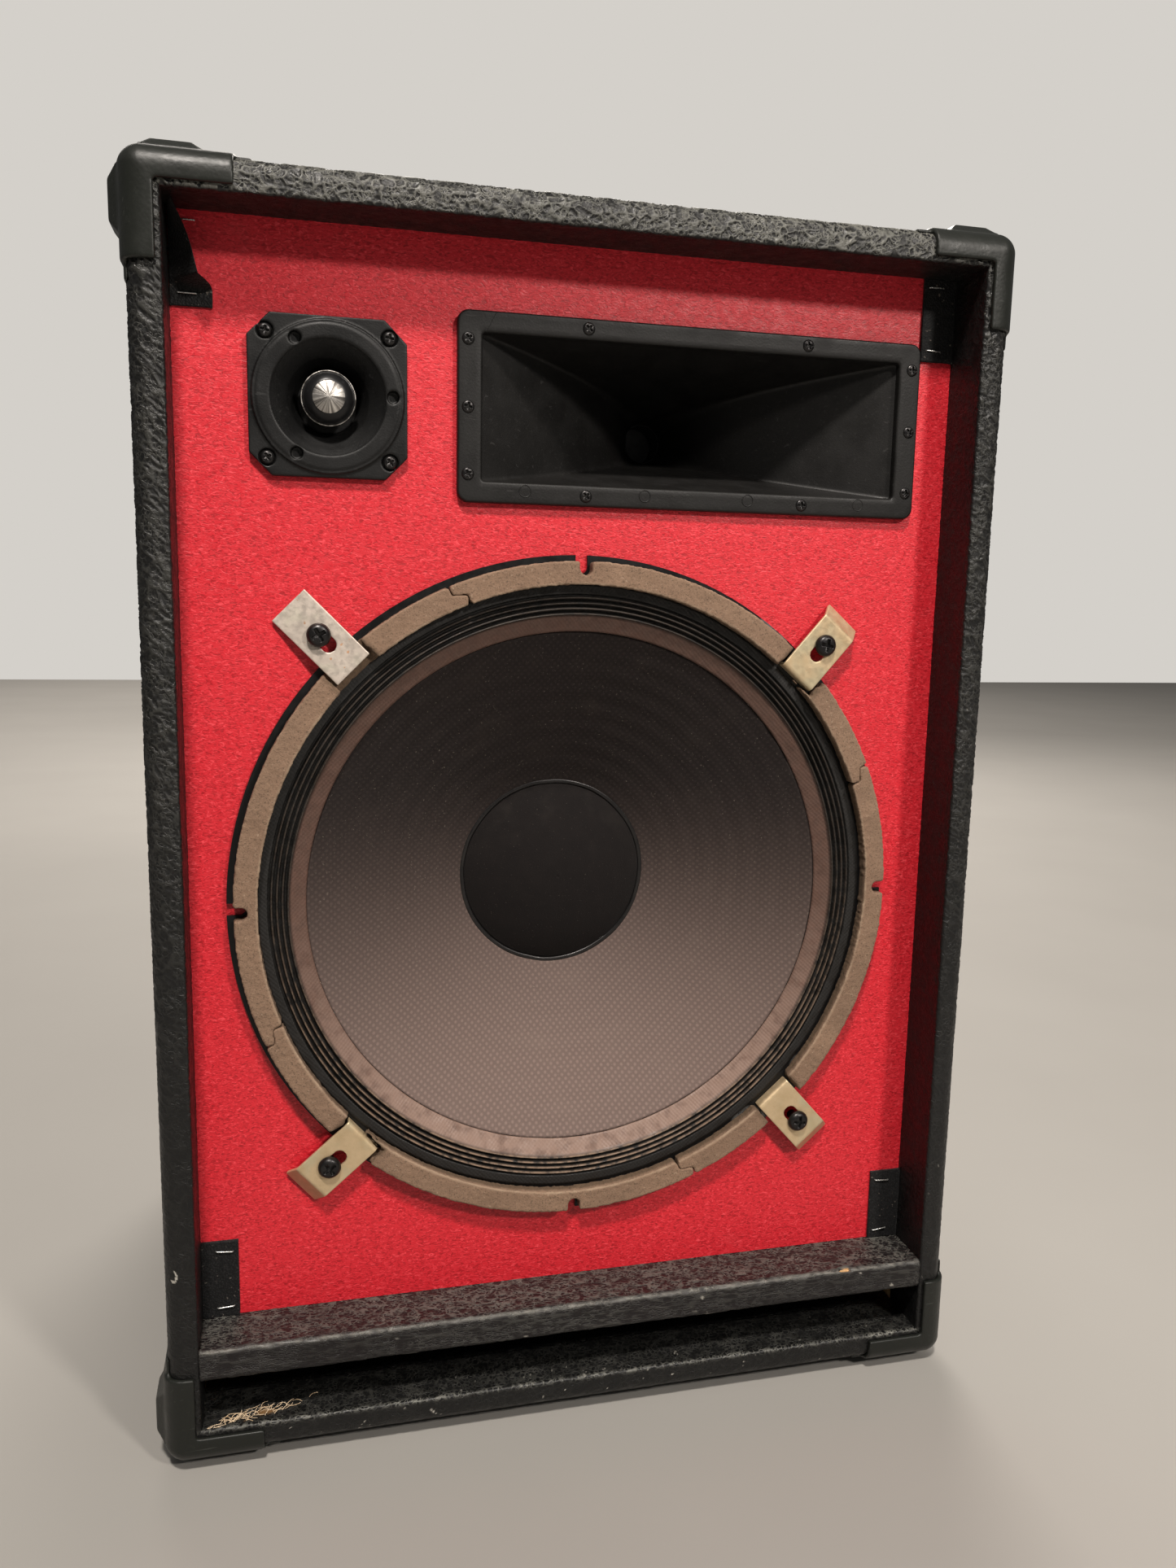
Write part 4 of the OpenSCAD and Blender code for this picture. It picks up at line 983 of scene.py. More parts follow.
def corner_protectors():
    points, faces = remesh(*node_mesh("corner_front_top_left"), 0.95, 4)
    skin = 3.0
    ball = EDGE_R + skin
    centre = np.array([CAB_LOW[0] - skin + ball, FRONT - skin + ball, CAB_HIGH[2] + skin - ball])
    out = (points - centre) * [-1, -1, 1]
    far = np.linalg.norm(out, axis=1)
    shrink = np.where((out.min(1) > 0) & (out.max(1) < ball + 0.4) & (far > ball), ball / far, 1)
    points = centre + out * shrink[:, None] * [-1, -1, 1]
    for sx, sy, sz in itertools.product((-1, 1), repeat=3):
        node = "corner_{}_{}_{}".format("front" if sy < 0 else "rear", "top" if sz > 0 else "bottom",
                                        "left" if sx < 0 else "right")
        moved = (points - [0, 0, MID_Z]) * [-sx, -sy, sz] + [0, 0, MID_Z]
        make(node.replace("corner", "protector"), moved, faces, paint_of(node), "cabinet", (node,))


corner_protectors()


# ---- hook tape and staples ----

def hook_tabs():
    pieces = []
    z_low, z_high = corners_of("hook_tabs")[0][2], corners_of("hook_tabs")[1][2]
    width, height, thick = 20.5, 46.0, 1.4
    for sx, top in itertools.product((-1, 1), (False, True)):
        u, v = np.meshgrid(np.linspace(0, width, 30), np.linspace(0, height, 66), indexing="ij")
        base = np.stack([u, v, 0 * u], -1)
        rough = noise(base + [sx * 90, 0, top * 60], 2.0, 61)
        fray = 0.8 * (noise(base + [0, 0, 7 + sx + 3 * top], 5, 62) - 0.5)
        u = u + fray * smooth(np.abs(v / height - 0.5), 0.42, 0.5)
        v = v + fray * smooth(np.abs(u / width - 0.5), 0.40, 0.5)
        h = thick + 0.35 * rough + 0.5 * (noise(base, 14, 63 + sx) - 0.3)
        x = sx * (OPEN_HALF_W - 0.1) - sx * u
        z = (z_high - height if top else z_low) + v
        under = 0.0 * h
        if sx < 0 and top:
            turn = smooth(v, 7.5, 13) * (0.66 + 0.019 * np.clip(v - 8, 0, 40)) + 0.03 * np.sin(v / 6)
            x = -OPEN_HALF_W + 0.3 + u * np.cos(turn)
            under = u * np.sin(turn)
            h = under + thick + 0.3 * rough
        front = np.stack([x, BAFFLE - h, z], -1)
        back = np.stack([x, BAFFLE - under - 0.02, z], -1)
        pieces.append(sheet(front, back))
    points, faces = join(pieces)
    make("hook_tape_tabs", points, faces, PAINTS["hook_tape"], "cabinet", ("hook_tabs",))


STAPLE_HALF_W, STAPLE_WIRE = 4.65, 0.84


def staples():
    pieces = []
    places = [(low + high) / 2 for low, high in solids("staples")]
    for i, place in enumerate(places):
        x, z = place[0], place[2]
        flap = x < 0 and z > MID_Z
        tilt = math.radians(0 if flap else [3, -5, 4, -2, 6, -4, 2, -3][i % 8])
        x = x - 4.5 if flap else x
        out = 0.5 if flap and z > 648 else 2.4
        w = STAPLE_HALF_W
        path = fillet([(-w, -3.5), (-w, out), (w, out), (w, -3.5)], [0.8, 0.8], 5)
        wire = off_baffle((x, z), path[:, 0] * math.cos(tilt), path[:, 1], path[:, 0] * math.sin(tilt))
        pieces.append(tube(wire, STAPLE_WIRE / 2, 8))
    points, faces = join(pieces)
    make("staple_wires", points, faces, PAINTS["bright_steel"], "cabinet", ("staples",))


hook_tabs()
staples()


# ---- woofer ----

FLANGE_T = 2.0
GASKET_T = 8.5
GASKET_IN, GASKET_OUT = 178.6, 192.5
CLAMPS = {
    "clamp_top_left": (134, 135, True), "clamp_top_right": (45, 49, False),
    "clamp_bottom_left": (226.6, 221, False), "clamp_bottom_right": (314, 312, False),
}
CLAMP_RING = 206.5
CLAMP_W = 24.0
CLAMP_IN, CLAMP_OUT = 25.5, 13.5
LIP = 8.3
PLATE_T = 2.0
PLATE_H = 7.2
TIP = math.radians(8)
SLOT_R = 4.2
TRAVEL = 7.4


def turned(x, y, angle):
    """x and y in axes that are turned by an angle in radians."""
    return x * math.cos(angle) + y * math.sin(angle), y * math.cos(angle) - x * math.sin(angle)


def clamp_place(name, local):
    """Points in a clamp's own frame (along the slot, across it, out of the baffle) in the cabinet frame."""
    at, along = np.radians(CLAMPS[name][:2])
    x, z = turned(local[..., 0], local[..., 1], -along)
    x, z = x + CLAMP_RING * math.cos(at), z + CLAMP_RING * math.sin(at)
    return off_baffle(WOOFER, x, local[..., 2], z)


def in_clamp(name, x, y):
    """Woofer coordinates turned into a clamp's own frame."""
    at, along = np.radians(CLAMPS[name][:2])
    return turned(x - CLAMP_RING * math.cos(at), y - CLAMP_RING * math.sin(at), along)


# How far the gasket sits off the woofer's axis: to the right, and (as it is negative) down
GASKET_SHIFT = (1.1, -0.9)


def gasket_layer(quarter, low, high, seed, crushed=False):
    """One ply of a gasket segment, with its joints, bolt notches and torn clamp pockets."""
    cell = 0.55
    run = np.arange(-GASKET_OUT - 1, GASKET_OUT + 1, cell)
    x, y = np.meshgrid(run, run, indexing="ij")
    cx, cy = x[:-1, :-1] + cell / 2, y[:-1, :-1] + cell / 2
    flat = np.stack([cx, cy, 0 * cx + 40 * seed], -1)
    ragged = noise(flat, 2.2, seed) - 0.5
    r = np.hypot(cx, cy)
    keep = (r < GASKET_OUT - 0.9 + 0.5 * ragged) & (r > GASKET_IN + 0.3 + 0.5 * ragged)
    for step, sign in ((0, 1), (1, -1)):
        a, b = turned(cx, cy, math.radians(22.2 + 90 * (quarter + step)))
        middle_r = (GASKET_IN + GASKET_OUT) / 2
        border = -4 + 8 * smooth(a, middle_r - 1.6, middle_r + 1.6)
        round_off = 1.8 * (smooth(a, GASKET_OUT - 3, GASKET_OUT) + smooth(-a, -GASKET_IN - 3, -GASKET_IN))
        keep &= sign * (b - border) > 0.35 + 0.5 * round_off
    for k in range(4):
        a, b = turned(cx, cy, math.radians(90 * k))
        half = 3.6 + 2.6 * smooth(a, 189.8, 192.6) ** 2
        keep &= ~((np.abs(b) < half) & (a > 187.5)) & (np.hypot(a - 187.5, b) > 3.6)
    for name, (_, _, tipped) in CLAMPS.items():
        u, v = in_clamp(name, cx + GASKET_SHIFT[0], cy + GASKET_SHIFT[1])
        tear = 2.6 * noise(flat, 4.0, seed + 3) + 1.2 * ragged
        start = -CLAMP_IN - (8 if tipped else 1.4) - 0.6 * tear
        pocket = (u > start) & (np.abs(v) < CLAMP_W / 2 + 0.9 + tear)
        if not (crushed and tipped):
            keep &= ~pocket
    if keep.sum() < 20:
        return None
    level = np.full(x.shape, float(low))
    front = np.stack([x, y, level + (high - low)], -1)
    back = np.stack([x, y, level], -1)
    return sheet(front, back, keep)


def gasket():
    top = FLANGE_T + GASKET_T
    plies = [(FLANGE_T + 0.05, 4.9, 71, True), (4.8, 7.8, 76, False), (7.7, top, 81, False)]
    for quarter in range(4):
        points, faces = join([s for s in (gasket_layer(quarter, *ply) for ply in plies) if s])
        points, faces = remesh(points, faces, 0.62, 3)
        local = points.copy()
        r = np.hypot(local[:, 0], local[:, 1])
        upper = smooth(local[:, 2], top - 1.6, top - 0.4)
        worn = 0.5 * (noise(local, 9, 84) - 0.5) + 0.35 * (noise(local, 2.0, 85) - 0.5)
        local[:, 2] += upper * (worn - 0.15)
        edge = np.maximum(smooth(r, GASKET_OUT - 1.6, GASKET_OUT - 0.3),
                          smooth(-r, -GASKET_IN - 1.9, -GASKET_IN - 0.5))
        edge = edge * (0.3 + 0.6 * noise(local, 5, 86)) * upper
        torn = np.zeros(len(local))
        for name in CLAMPS:
            u, v = in_clamp(name, local[:, 0] + GASKET_SHIFT[0], local[:, 1] + GASKET_SHIFT[1])
            gap = np.maximum(-CLAMP_IN - 1 - u, np.abs(v) - CLAMP_W / 2 - 1)
            torn = np.maximum(torn, smooth(-gap, -4.5, -0.8))
        torn = torn * (0.35 + 0.65 * noise(local, 2.5, 87))
        # Every wall below 6 to 9 mm out of the baffle takes the torn colour too: darker towards the baffle.
        torn = np.maximum(torn, 0.75 * (1 - smooth(local[:, 2], 6, 9)))
        world = off_baffle(WOOFER + GASKET_SHIFT, local[:, 0], local[:, 2], local[:, 1])
        make(f"gasket_segment_{quarter + 1}", world, faces, PAINTS["fibreboard"], "cabinet",
             ("woofer_gasket",), {"edge": edge, "torn": torn})


def radial_blend(piece):
    """Sets a turned piece's points to their radius from the woofer's axis, bakes its transform, then puts
    the points back as they were.
    """
    mesh = piece.data
    rest = np.zeros(len(mesh.vertices) * 3, np.float32)
    mesh.vertices.foreach_get("co", rest)
    where = rest.reshape(-1, 3)
    radius = np.hypot(where[:, 0] - WOOFER[0] * MM, where[:, 2] - WOOFER[1] * MM)
    mesh.vertices.foreach_set("co", np.stack([radius, 0 * radius, 0 * radius], -1).ravel())
    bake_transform(piece)
    mesh.vertices.foreach_set("co", rest)
    mesh.update()


CONE_R = 151.9
CONE_SLOPE = 0.609
CAP_R = 56.4
CAP_RISE = 17.0
NECK_R = 32.25


def cone_h(r):
    return -4 - (CONE_R - r) * CONE_SLOPE


def surround():
    turns = 300
    r = [np.linspace(152.0, 161, 10), np.linspace(161.4, 173, 44), np.linspace(173.6, 178.4, 5)]
    r = np.concatenate(r)
    roll = 0.6 + 1.4 * (r - 161) / 12 + 1.5 * np.sin(2 * np.pi * 4 * (r - 161) / 12)
    h = np.where(r < 161, 0.6 - 4.6 * (161 - r) / 9.1, roll)
    h = np.where(r > 173, 2.05, h)
    profile = skin(r, h + 0.7, h)
    points, faces = lathe(profile, turns, WOOFER)
    reach = np.repeat(profile[:, 0], turns)
    local = np.repeat(profile[:, 1], turns)
    mean = 0.6 + 1.4 * (reach - 161) / 12 + 0.7
    crest = smooth(local - mean, 0.1, 1.3) * (reach > 160.5)
    glue = smooth(-reach, -161.6, -160.4)
    points[:, 1] += 0.25 * (noise(points, 12, 91) - 0.5) + 0.5 * glue * (noise(points, 5, 92) - 0.5)
    piece = make("surround_rolls", points, faces, PAINTS["doped_cloth"], None, ("woofer_surround",),
                 {"crest": crest, "glue": glue})
    radial_blend(piece)


def spider():
    r = np.linspace(NECK_R, 92, 84)
    h = -81.9 + 1.4 * (1 - np.cos(2 * np.pi * 7 * (r - NECK_R) / (92 - NECK_R)))
    points, faces = lathe(skin(r, h + 0.8, h), 160, WOOFER)
    piece = make("spider_disc", points, faces, PAINTS["spider_cloth"], None, ("spider",))
    radial_blend(piece)


def cone():
    r = np.linspace(CONE_R, NECK_R, 96)
    ripple = 0.10 * np.sin(r * 1.9) + 0.12 * np.sin(r * 0.55)
    points, faces = lathe(skin(r, cone_h(r) + ripple * (r < 148), cone_h(r) - 1.1), 300, WOOFER)
    points[:, 1] += 0.3 * (noise(points, 24, 95) - 0.5)
    make("cone_body", points, faces, PAINTS["cone_paper"], "woofer_cone", ("woofer_cone",))
    bead = [(CAP_R + 1.2 + 1.5 * math.cos(a), cone_h(CAP_R) + 0.9 + 0.8 * math.sin(a))
            for a in np.linspace(0, 2 * math.pi, 12, endpoint=False)]
    points, faces = lathe(bead, 240, WOOFER)
    turn = np.arctan2(points[:, 2] - WOOFER[1], points[:, 0] - WOOFER[0])
    swell = 0.5 * (noise(points, 9, 96) - 0.5) + 0.12 * np.sin(7 * turn)
    points[:, 0] += swell * np.cos(turn)
    points[:, 2] += swell * np.sin(turn)
    make("cap_glue_bead", points, faces, PAINTS["black_steel"], "woofer_cone")


def dust_cap():
    ball = (CAP_R ** 2 + CAP_RISE ** 2) / (2 * CAP_RISE)
    apex = cone_h(CAP_R) + CAP_RISE + 0.3
    a = np.linspace(0, math.asin(CAP_R / ball), 44)
    outer = np.stack([ball * np.sin(a), apex - ball + ball * np.cos(a)], -1)
    inner = np.stack([(ball - 1) * np.sin(a), apex - ball + (ball - 1) * np.cos(a)], -1)[::-1]
    outer[0, 0] = inner[-1, 0] = 0.02
    outer[-1, 1] += 0.25
    points, faces = lathe(np.concatenate([outer, inner]), 200, WOOFER)
    points[:, 1] += 0.35 * (noise(points, 20, 97) - 0.5)
    make("cap_dome", points, faces, PAINTS["cap_felt"], "woofer_cone", ("dust_cap",))


def slotted_plate(length, width, slot_from, cell=0.3):
    """Flat strip with rounded corners and a slot, from u = 0, in small quads."""
    runs = (np.arange(-0.3, length + 0.6, cell), np.arange(-width / 2 - 0.3, width / 2 + 0.6, cell))
    u, v = np.meshgrid(*runs, indexing="ij")
    cu, cv = u[:-1, :-1] + cell / 2, v[:-1, :-1] + cell / 2
    du = np.maximum(np.abs(cu - length / 2) - (length / 2 - 0.5), 0)
    dv = np.maximum(np.abs(cv) - (width / 2 - 0.5), 0)
    keep = np.hypot(du, dv) < 0.5
    along = np.clip(cu, slot_from - TRAVEL, slot_from)
    keep &= np.hypot(cu - along, cv) > SLOT_R
    front = np.stack([u, v, 0 * u + PLATE_T / 2], -1)
    return remesh(*sheet(front, front - [0, 0, PLATE_T], keep), 0.42, 3)


def clamp_shapes():
    """Three cranked plates and one flat plate that lies tipped on the gasket's crushed edge."""
    for name, (_, _, tipped) in CLAMPS.items():
        if tipped:
            lift = 0.3 + (CLAMP_OUT + LIP) * math.sin(TIP) + PLATE_T / 2 * math.cos(TIP)
            ends = [(u, lift - u * math.sin(TIP)) for u in (-CLAMP_IN, CLAMP_OUT + LIP)]
            path = resample(np.array(ends), 0.5)
        else:
            middle_h = PLATE_H + PLATE_T / 2
            bends = [(1 - CLAMP_IN, FLANGE_T + 0.1), (1 - CLAMP_IN, middle_h),
                     (CLAMP_OUT - 0.4, middle_h), (CLAMP_OUT + LIP - 1.0, 1.25)]
            path = resample(fillet(bends, [1.5, 1.8], 8), 0.4)
        runs = np.concatenate([[0], np.cumsum(np.linalg.norm(np.diff(path, axis=0), axis=1))])
        if tipped:
            slot_from = np.interp(0, path[:, 0], runs)
        else:
            slot_from = runs[np.argmin(np.abs(path[:, 0]) + (path[:, 1] < 6) * 99)]
        points, faces = slotted_plate(runs[-1], CLAMP_W, slot_from)
        normal = left_normals(path)
        u, v, w = points[:, 0], points[:, 1], points[:, 2]
        local = np.stack([
            np.interp(u, runs, path[:, 0]) + w * np.interp(u, runs, normal[:, 0]),
            v,
            np.interp(u, runs, path[:, 1]) + w * np.interp(u, runs, normal[:, 1]),
        ], -1)
        local[:, 2] += 0.12 * (noise(np.stack([u, v, 0 * u + len(name)], -1), 11, 101) - 0.5)
        make(name + "_plate", clamp_place(name, local), faces, paint_of(name), name, (name,))


gasket()
surround()
spider()
cone()
dust_cap()
clamp_shapes()


# ---- screws ----

def screw_mesh(head_r, head_h, shank_r, length):
    """Pan head screw with a cross recess; the head's underside is at 0 and its top points to +Z."""
    turns = 72
    turn = np.linspace(0, 2 * math.pi, turns, endpoint=False)
    radii = np.concatenate([[0.01], np.linspace(0.04, 0.97, 30) * head_r])
    rows = []
    for r in radii:
        x, y = r * np.cos(turn), r * np.sin(turn)
        h = head_h * (1 - (r / head_r) ** 3.4) ** 0.42 * np.ones(turns)
        arm, reach = head_r * 0.12, head_r * 0.60
        a, b = np.minimum(np.abs(x), np.abs(y)), np.maximum(np.abs(x), np.abs(y))
        cut = smooth(-a, -arm - 0.22, -arm) * smooth(-b, -reach - 0.1, -reach + 0.35)
        hub = smooth(-np.hypot(x, y), -head_r * 0.24, -head_r * 0.12)
        h = h - head_h * 0.62 * np.maximum(cut, hub) * (0.6 + 0.4 * smooth(-b, -reach, 0))
        rows.append(np.stack([x, y, h], -1))
    for r, h in ((head_r, head_h * 0.32), (head_r * 0.985, head_h * 0.06), (head_r * 0.94, 0), (shank_r, 0)):
        rows.append(np.stack([r * np.cos(turn), r * np.sin(turn), h + 0 * turn], -1))
    for k in range(1, 2 * int(length / 1.4)):
        r = shank_r * (1.0 if k % 2 else 0.8)
        rows.append(np.stack([r * np.cos(turn), r * np.sin(turn), -0.7 * k + 0 * turn], -1))
    rows.append(np.stack([0.02 * np.cos(turn), 0.02 * np.sin(turn), -length + 0 * turn], -1))
    faces = grid_faces(len(rows), turns, False, True).tolist() + flat_ends(len(rows), turns)
    return np.array(rows).reshape(-1, 3), faces


def screws(group, head_h, shank_r):
    """Every screw of a CAD group, each turned a little differently."""
    node = group + "_screws"
    parts = []
    for i, (low, high) in enumerate(solids(node)):
        size, mid = high - low, (low + high) / 2
        k = int(np.argmax(size))
        out = np.zeros(3)
        out[k] = np.sign(mid[k] - (MID_Z if k == 2 else 0))
        head_r = np.delete(size, k).max() / 2
        top = (high if out[k] > 0 else low)[k]
        points, faces = screw_mesh(head_r, head_h, shank_r, size[k] - head_h)
        x, y = turned(points[:, 0], points[:, 1], -(2.4 * i + 0.5))
        side_a = np.zeros(3)
        side_a[(k + 1) % 3] = 1
        side_b = np.cross(out, side_a)
        origin = mid.copy()
        origin[k] = top - out[k] * head_h
        parts.append((origin + x[:, None] * side_a + y[:, None] * side_b + points[:, 2:] * out, faces))
    points, faces = join(parts)
    make(group + "_screw_set", points, faces, paint_of(node), "cabinet", (node,))


for group, head_height, shank_radius in (
    ("clamp", 4.2, 3.0), ("tweeter", 2.6, 1.75), ("horn", 2.4, 1.75), ("corner", 2.4, 1.85),
    ("rear", 2.6, 1.75), ("terminal", 2.2, 1.5), ("handle", 2.4, 1.75),
):
    screws(group, head_height, shank_radius)


# ---- horn ----

HORN_W, HORN_H = 269.5, 99.0
MOUTH_W, MOUTH_H = 243.0, 76.4
THROAT_R = 12.5
HORN_DEEP = 104.0


def loop(w, h, r, straight=26, arc=6):
    """A rounded rectangle with the same number of points whatever its size."""
    out = []
    for sx, sy, start in ((1, 1, 0), (-1, 1, 90), (-1, -1, 180), (1, -1, 270)):
        cx, cy = sx * (w / 2 - r), sy * (h / 2 - r)
        a = np.radians(start + np.linspace(0, 90, arc))
        out.append(np.stack([cx + r * np.cos(a), cy + r * np.sin(a)], -1))
        nx, ny = (-sx, sy) if sx == sy else (sx, -sy)
        end = np.array([nx * (w / 2 - r) + (r if nx > 0 else -r) * (sx != sy),
                        ny * (h / 2 - r) + (r if ny > 0 else -r) * (sx == sy)])
        t = np.linspace(0, 1, straight + 2)[1:-1, None]
        out.append(out[-1][-1] * (1 - t) + end * t)
    return np.concatenate(out)


def flare(depth, wall):
    """Width and height of the horn's passage at a depth, with a wall's thickness added."""
    left = 1 - depth / HORN_DEEP
    return (2 * THROAT_R + (MOUTH_W - 2 * THROAT_R) * left ** 1.7 + wall,
            2 * THROAT_R + (MOUTH_H - 2 * THROAT_R) * left ** 1.15 + wall)


def horn():
    sections = [(loop(HORN_W, HORN_H, 6), 0.0), (loop(HORN_W, HORN_H, 6), 3.2)]
    for a in (25, 50, 75, 90):
        ease = 1.3 * (1 - math.cos(math.radians(a)))
        up = 1.3 * math.sin(math.radians(a))
        sections.append((loop(HORN_W - 2 * ease, HORN_H - 2 * ease, 6 - ease), 3.2 + up))
    for t in (0.25, 0.5, 0.75):
        w = HORN_W - 2.6 + (MOUTH_W + 3 - HORN_W + 2.6) * t
        h = HORN_H - 2.6 + (MOUTH_H + 3 - HORN_H + 2.6) * t
        sections.append((loop(w, h, 4.7 - 1.7 * t), 4.5))
    for a in (0, 30, 60, 90):
        ease = 1.5 * math.sin(math.radians(a))
        sections.append((loop(MOUTH_W + 3 - 2 * ease, MOUTH_H + 3 - 2 * ease, 3 - ease * 0.6),
                         4.5 - 1.5 * (1 - math.cos(math.radians(a)))))
    for d in np.linspace(0, HORN_DEEP, 60):
        w, h = flare(d, 0)
        r = 2.1 + (THROAT_R - 2.2) * (d / HORN_DEEP) ** 5
        sections.append((loop(w, h, min(r, min(w, h) / 2 - 0.02)), -d))
    sections.append((loop(24.6, 24.6, 12.2), -110.0))
    sections.append((loop(66, 66, 32.8), -110.0))
    sections.append((loop(66, 66, 32.8), -102.0))
    for d in np.linspace(100, 0, 24):
        sections.append((loop(*flare(d, 4.4), 4 + (THROAT_R - 4) * (d / HORN_DEEP) ** 5), -d))
    points = np.array([off_baffle(HORN, s[:, 0], h, s[:, 1]) for s, h in sections])
    points[..., 1] += 0.25 * (noise(points, 60, 111) - 0.5)
    make("horn_moulding", points.reshape(-1, 3), grid_faces(*points.shape[:2], True, True),
         PAINTS["horn_plastic"], "cabinet", ("horn",), sharp=50)


horn()


def horn_marks():
    """Ejector rings in the lower flange and the flash line at the upper left of the mouth."""
    parts = []
    for x in (-97.9, -30.1, 30.9, 99.3):
        ring = [(2.9, 4.4), (3.5, 4.4), (3.45, 4.62), (3.2, 4.68), (2.95, 4.62)]
        parts.append(lathe(ring, 48, HORN + [x, -42.6]))
    left, top = -HORN_W / 2, HORN_H / 2
    line = resample(np.array([(left + 20.5, 4.45, top - 0.7), (left + 17.0, 4.5, top - 7.5),
                              (left + 14.4, 4.4, top - 11.2)]), 0.8)
    parts.append(tube(off_baffle(HORN, *line.T), 0.22, 8))
    points, faces = join(parts)
    make("horn_mould_marks", points, faces, PAINTS["horn_plastic"])


horn_marks()


# ---- tweeter ----

def tweeter_shape(points):
    """Cuts the groove round the raised ring."""
    r = np.hypot(points[:, 0] - TWEETER[0], points[:, 2] - TWEETER[1])
    h = BAFFLE - points[:, 1]
    groove = np.exp(-((r - 37.2) / 0.8) ** 2) * (h > 3.0)
    out = points.copy()
    out[:, 1] += 0.5 * groove
    return out


# Profiles of the tweeter's bullet, as (radius, h)
BULLET_BODY = [
    (0.02, -18), (3, -18), (9, -15.6), (12.2, -10), (13.5, -5), (14.1, -2.2), (14.25, -0.6), (14.1, 0.4),
    (13.6, 0.9), (13.0, 1.0), (12.9, 1.5), (12.4, 2.9), (11.2, 4.5), (9.6, 5.8), (8.1, 6.6), (0.02, 6.4),
]
BULLET_RIM = [(13.5, 0.75), (14.0, 0.65), (14.15, 0.95), (13.85, 1.25), (13.45, 1.1)]
BULLET_TIP = [
    (0.02, 6.3), (8.0, 6.45), (8.25, 6.75), (7.9, 7.0), (5.6, 7.9), (3.2, 8.6), (1.2, 9.0), (0.02, 9.05),
]


def bullet():
    """The bullet in the tweeter's throat: one turned metal piece drawn as a dark body that is a painted
    reflection of the dark surroundings, a bright rim, and a turned tip whose brightness is a painted
    highlight.
    """
    for name, profile, paint in (("bullet_body", BULLET_BODY, BULLET_PAINTED_REFLECTION),
                                 ("bullet_rim", BULLET_RIM, PAINTS["turned_alloy"]),
                                 ("bullet_tip", BULLET_TIP, PAINTS["turned_alloy"])):
        if name == "bullet_rim":
            make(name, *lathe(profile, 120, TWEETER), paint)
        else:
            points, faces = lathe(profile, 120, TWEETER, False)
            make(name, points, faces, paint, "cabinet", ("tweeter_bullet",), sharp=40)


eased("tweeter_moulding", "tweeter_housing", PAINTS["tweeter_plastic"], 0.6, 2, tweeter_shape)
bullet()


# ---- sides and rear ----

for side_name in ("left", "right"):
    node = "handle_dish_" + side_name
    eased(f"handle_cup_{side_name}", node, paint_of(node), 1.15, 3)
    node = "handle_bail_" + side_name
    eased(f"handle_grip_{side_name}", node, paint_of(node), 0.9, 4, body="handle_" + side_name)
eased("terminal_cup", "terminal_dish", paint_of("terminal_dish"), 0.9, 3)


# ---- wadding ----

def fluffy(points):
    wide = np.stack([noise(points, 34, s) - 0.5 for s in (121, 122, 123)], -1)
    fine = np.stack([noise(points, 7, s) - 0.5 for s in (124, 125, 126)], -1)
    return points + 6 * wide * [0.6, 1, 0.6] + 2.2 * fine - [0, 2, 0]


eased("wadding_pads", "damping_wadding", PAINTS["wadding"], 4.0, 6, fluffy)


# ---- floor, light and camera ----

def floor_paint():
    p = Paint("studio_floor")
    colour = p.mix(p.noise(300, 4), rgb(150, 147, 142), rgb(158, 155, 150))
    return p.done(colour, 0.85, p.noise(12, 3), 0.05)


floor_mesh = bpy.data.meshes.new("studio_floor")
floor_mesh.from_pydata([(-6, -6, 0), (6, -6, 0), (6, 6, 0), (-6, 6, 0)], [], [(0, 1, 2, 3)])
floor_mesh.materials.append(floor_paint())
floor = bpy.data.objects.new("studio_floor", floor_mesh)
bpy.context.collection.objects.link(floor)


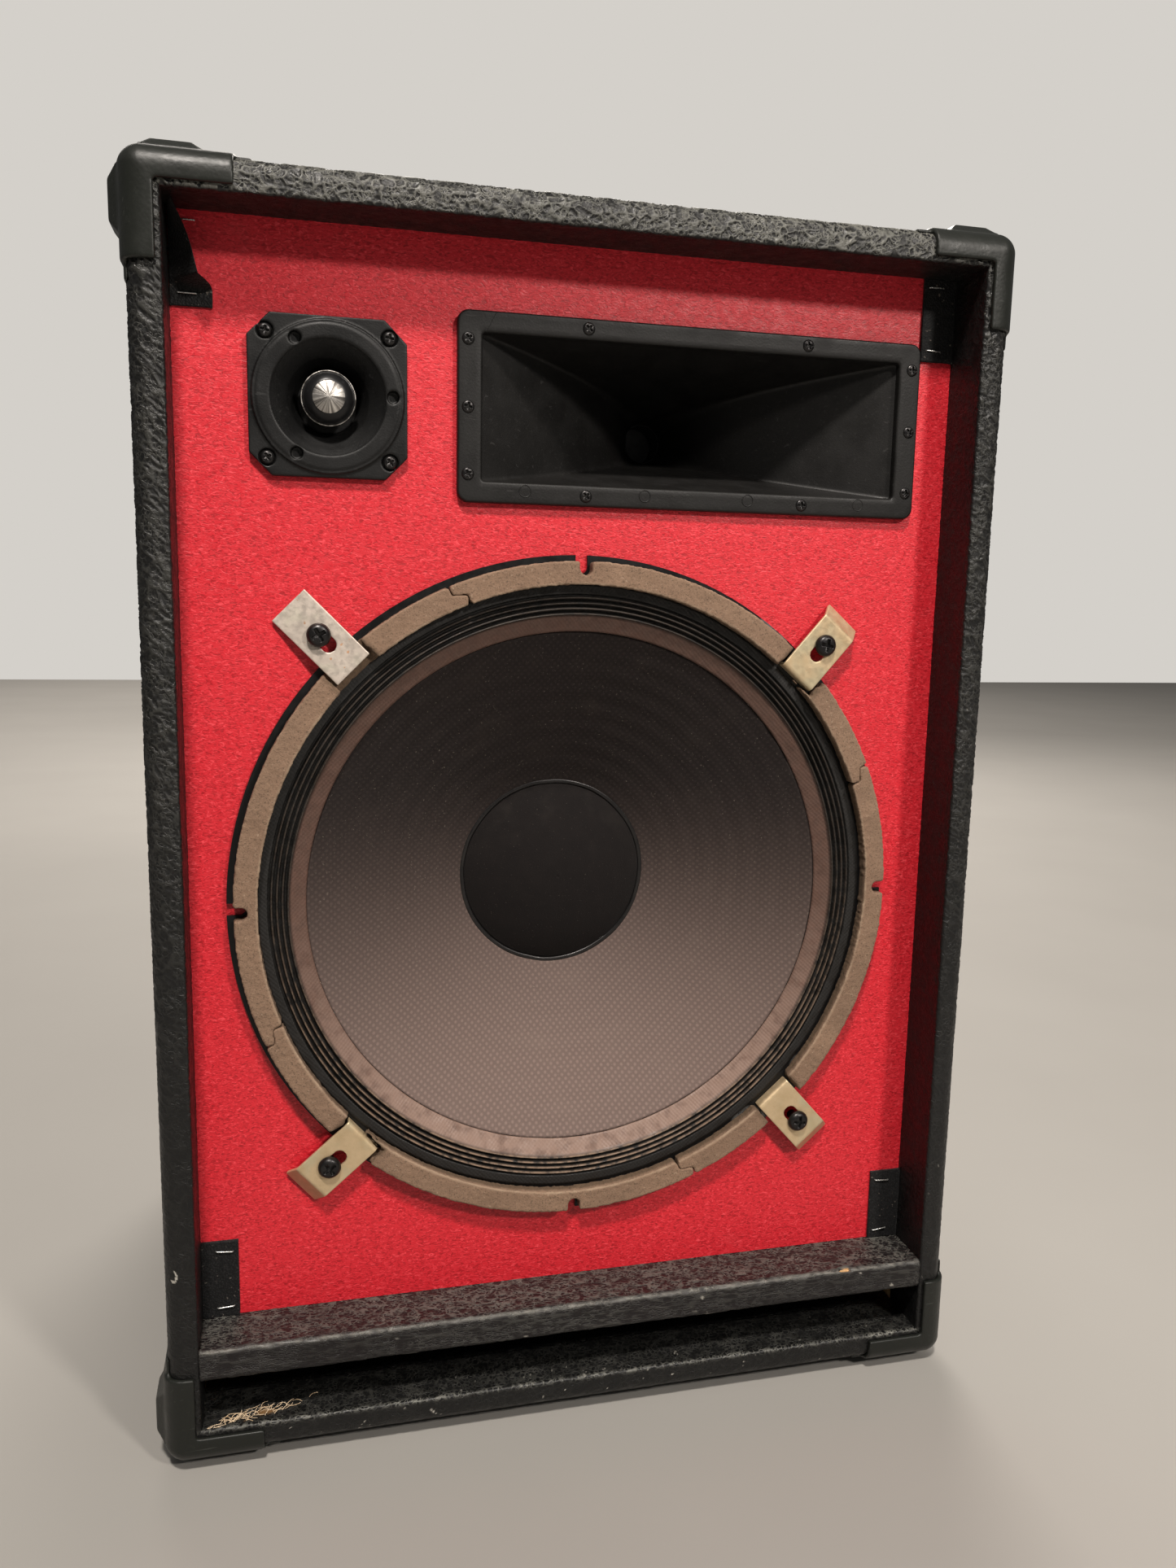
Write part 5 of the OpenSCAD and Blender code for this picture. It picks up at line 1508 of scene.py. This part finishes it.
def area_light(name, place, target, size, power, colour=(1, 1, 1)):
    light = bpy.data.lights.new(name, "AREA")
    light.shape, light.size, light.energy, light.color = "DISK", size, power, colour
    holder = bpy.data.objects.new(name, light)
    bpy.context.collection.objects.link(holder)
    holder.location = place
    holder.rotation_euler = (Vector(target) - Vector(place)).to_track_quat("-Z", "Y").to_euler()


AIM = Vector((0, BAFFLE * MM, MID_Z * MM))
WARM = (1.0, 0.93, 0.86)
area_light("key_left", AIM + 2.8 * Vector((-0.26, -1, 1.70)).normalized(), AIM, 0.28, 80, WARM)
area_light("key_right", AIM + 2.8 * Vector((0.55, -1, 0.75)).normalized(), AIM, 0.28, 40, WARM)
area_light("floor_rear", (0, 4.4, 3.2), (0, 4.6, 0), 4.0, 170, WARM)
area_light("fill_rear", (0.8, 2.6, 2.0), AIM, 1.8, 70, WARM)


def studio_world():
    """Pale surroundings for the camera, and a weaker even light for the scene."""
    world = bpy.data.worlds.new("studio")
    world.use_nodes = True
    tree = world.node_tree
    seen = tree.nodes.new("ShaderNodeBackground")
    seen.inputs["Color"].default_value = (*rgb(212, 208, 202), 1)
    lit = tree.nodes["Background"]
    lit.inputs["Color"].default_value = (0.95, 0.93, 0.9, 1)
    lit.inputs["Strength"].default_value = 0.15
    ray = tree.nodes.new("ShaderNodeLightPath")
    both = tree.nodes.new("ShaderNodeMixShader")
    tree.links.new(ray.outputs["Is Camera Ray"], both.inputs[0])
    tree.links.new(lit.outputs[0], both.inputs[1])
    tree.links.new(seen.outputs[0], both.inputs[2])
    tree.links.new(both.outputs[0], tree.nodes["World Output"].inputs["Surface"])
    bpy.context.scene.world = world


studio_world()
bpy.context.scene.view_settings.view_transform = "Standard"

camera_data = bpy.data.cameras.new("camera")
camera_data.sensor_fit, camera_data.sensor_width, camera_data.lens = "HORIZONTAL", 36, 36.22
camera = bpy.data.objects.new("camera", camera_data)
bpy.context.collection.objects.link(camera)
# The camera stands to the left of the middle and looks a little right and down, as in the photo
right = Vector((0.96990, -0.24267, 0.01999))
down = Vector((-0.01835, -0.15472, -0.98779))
forward = Vector((0.24280, 0.95769, -0.15452))
view = Matrix((right, -down, -forward)).transposed().to_4x4()
view.translation = Vector((-0.1626, -0.8087, 0.4809))
camera.matrix_world = view
bpy.context.scene.camera = camera
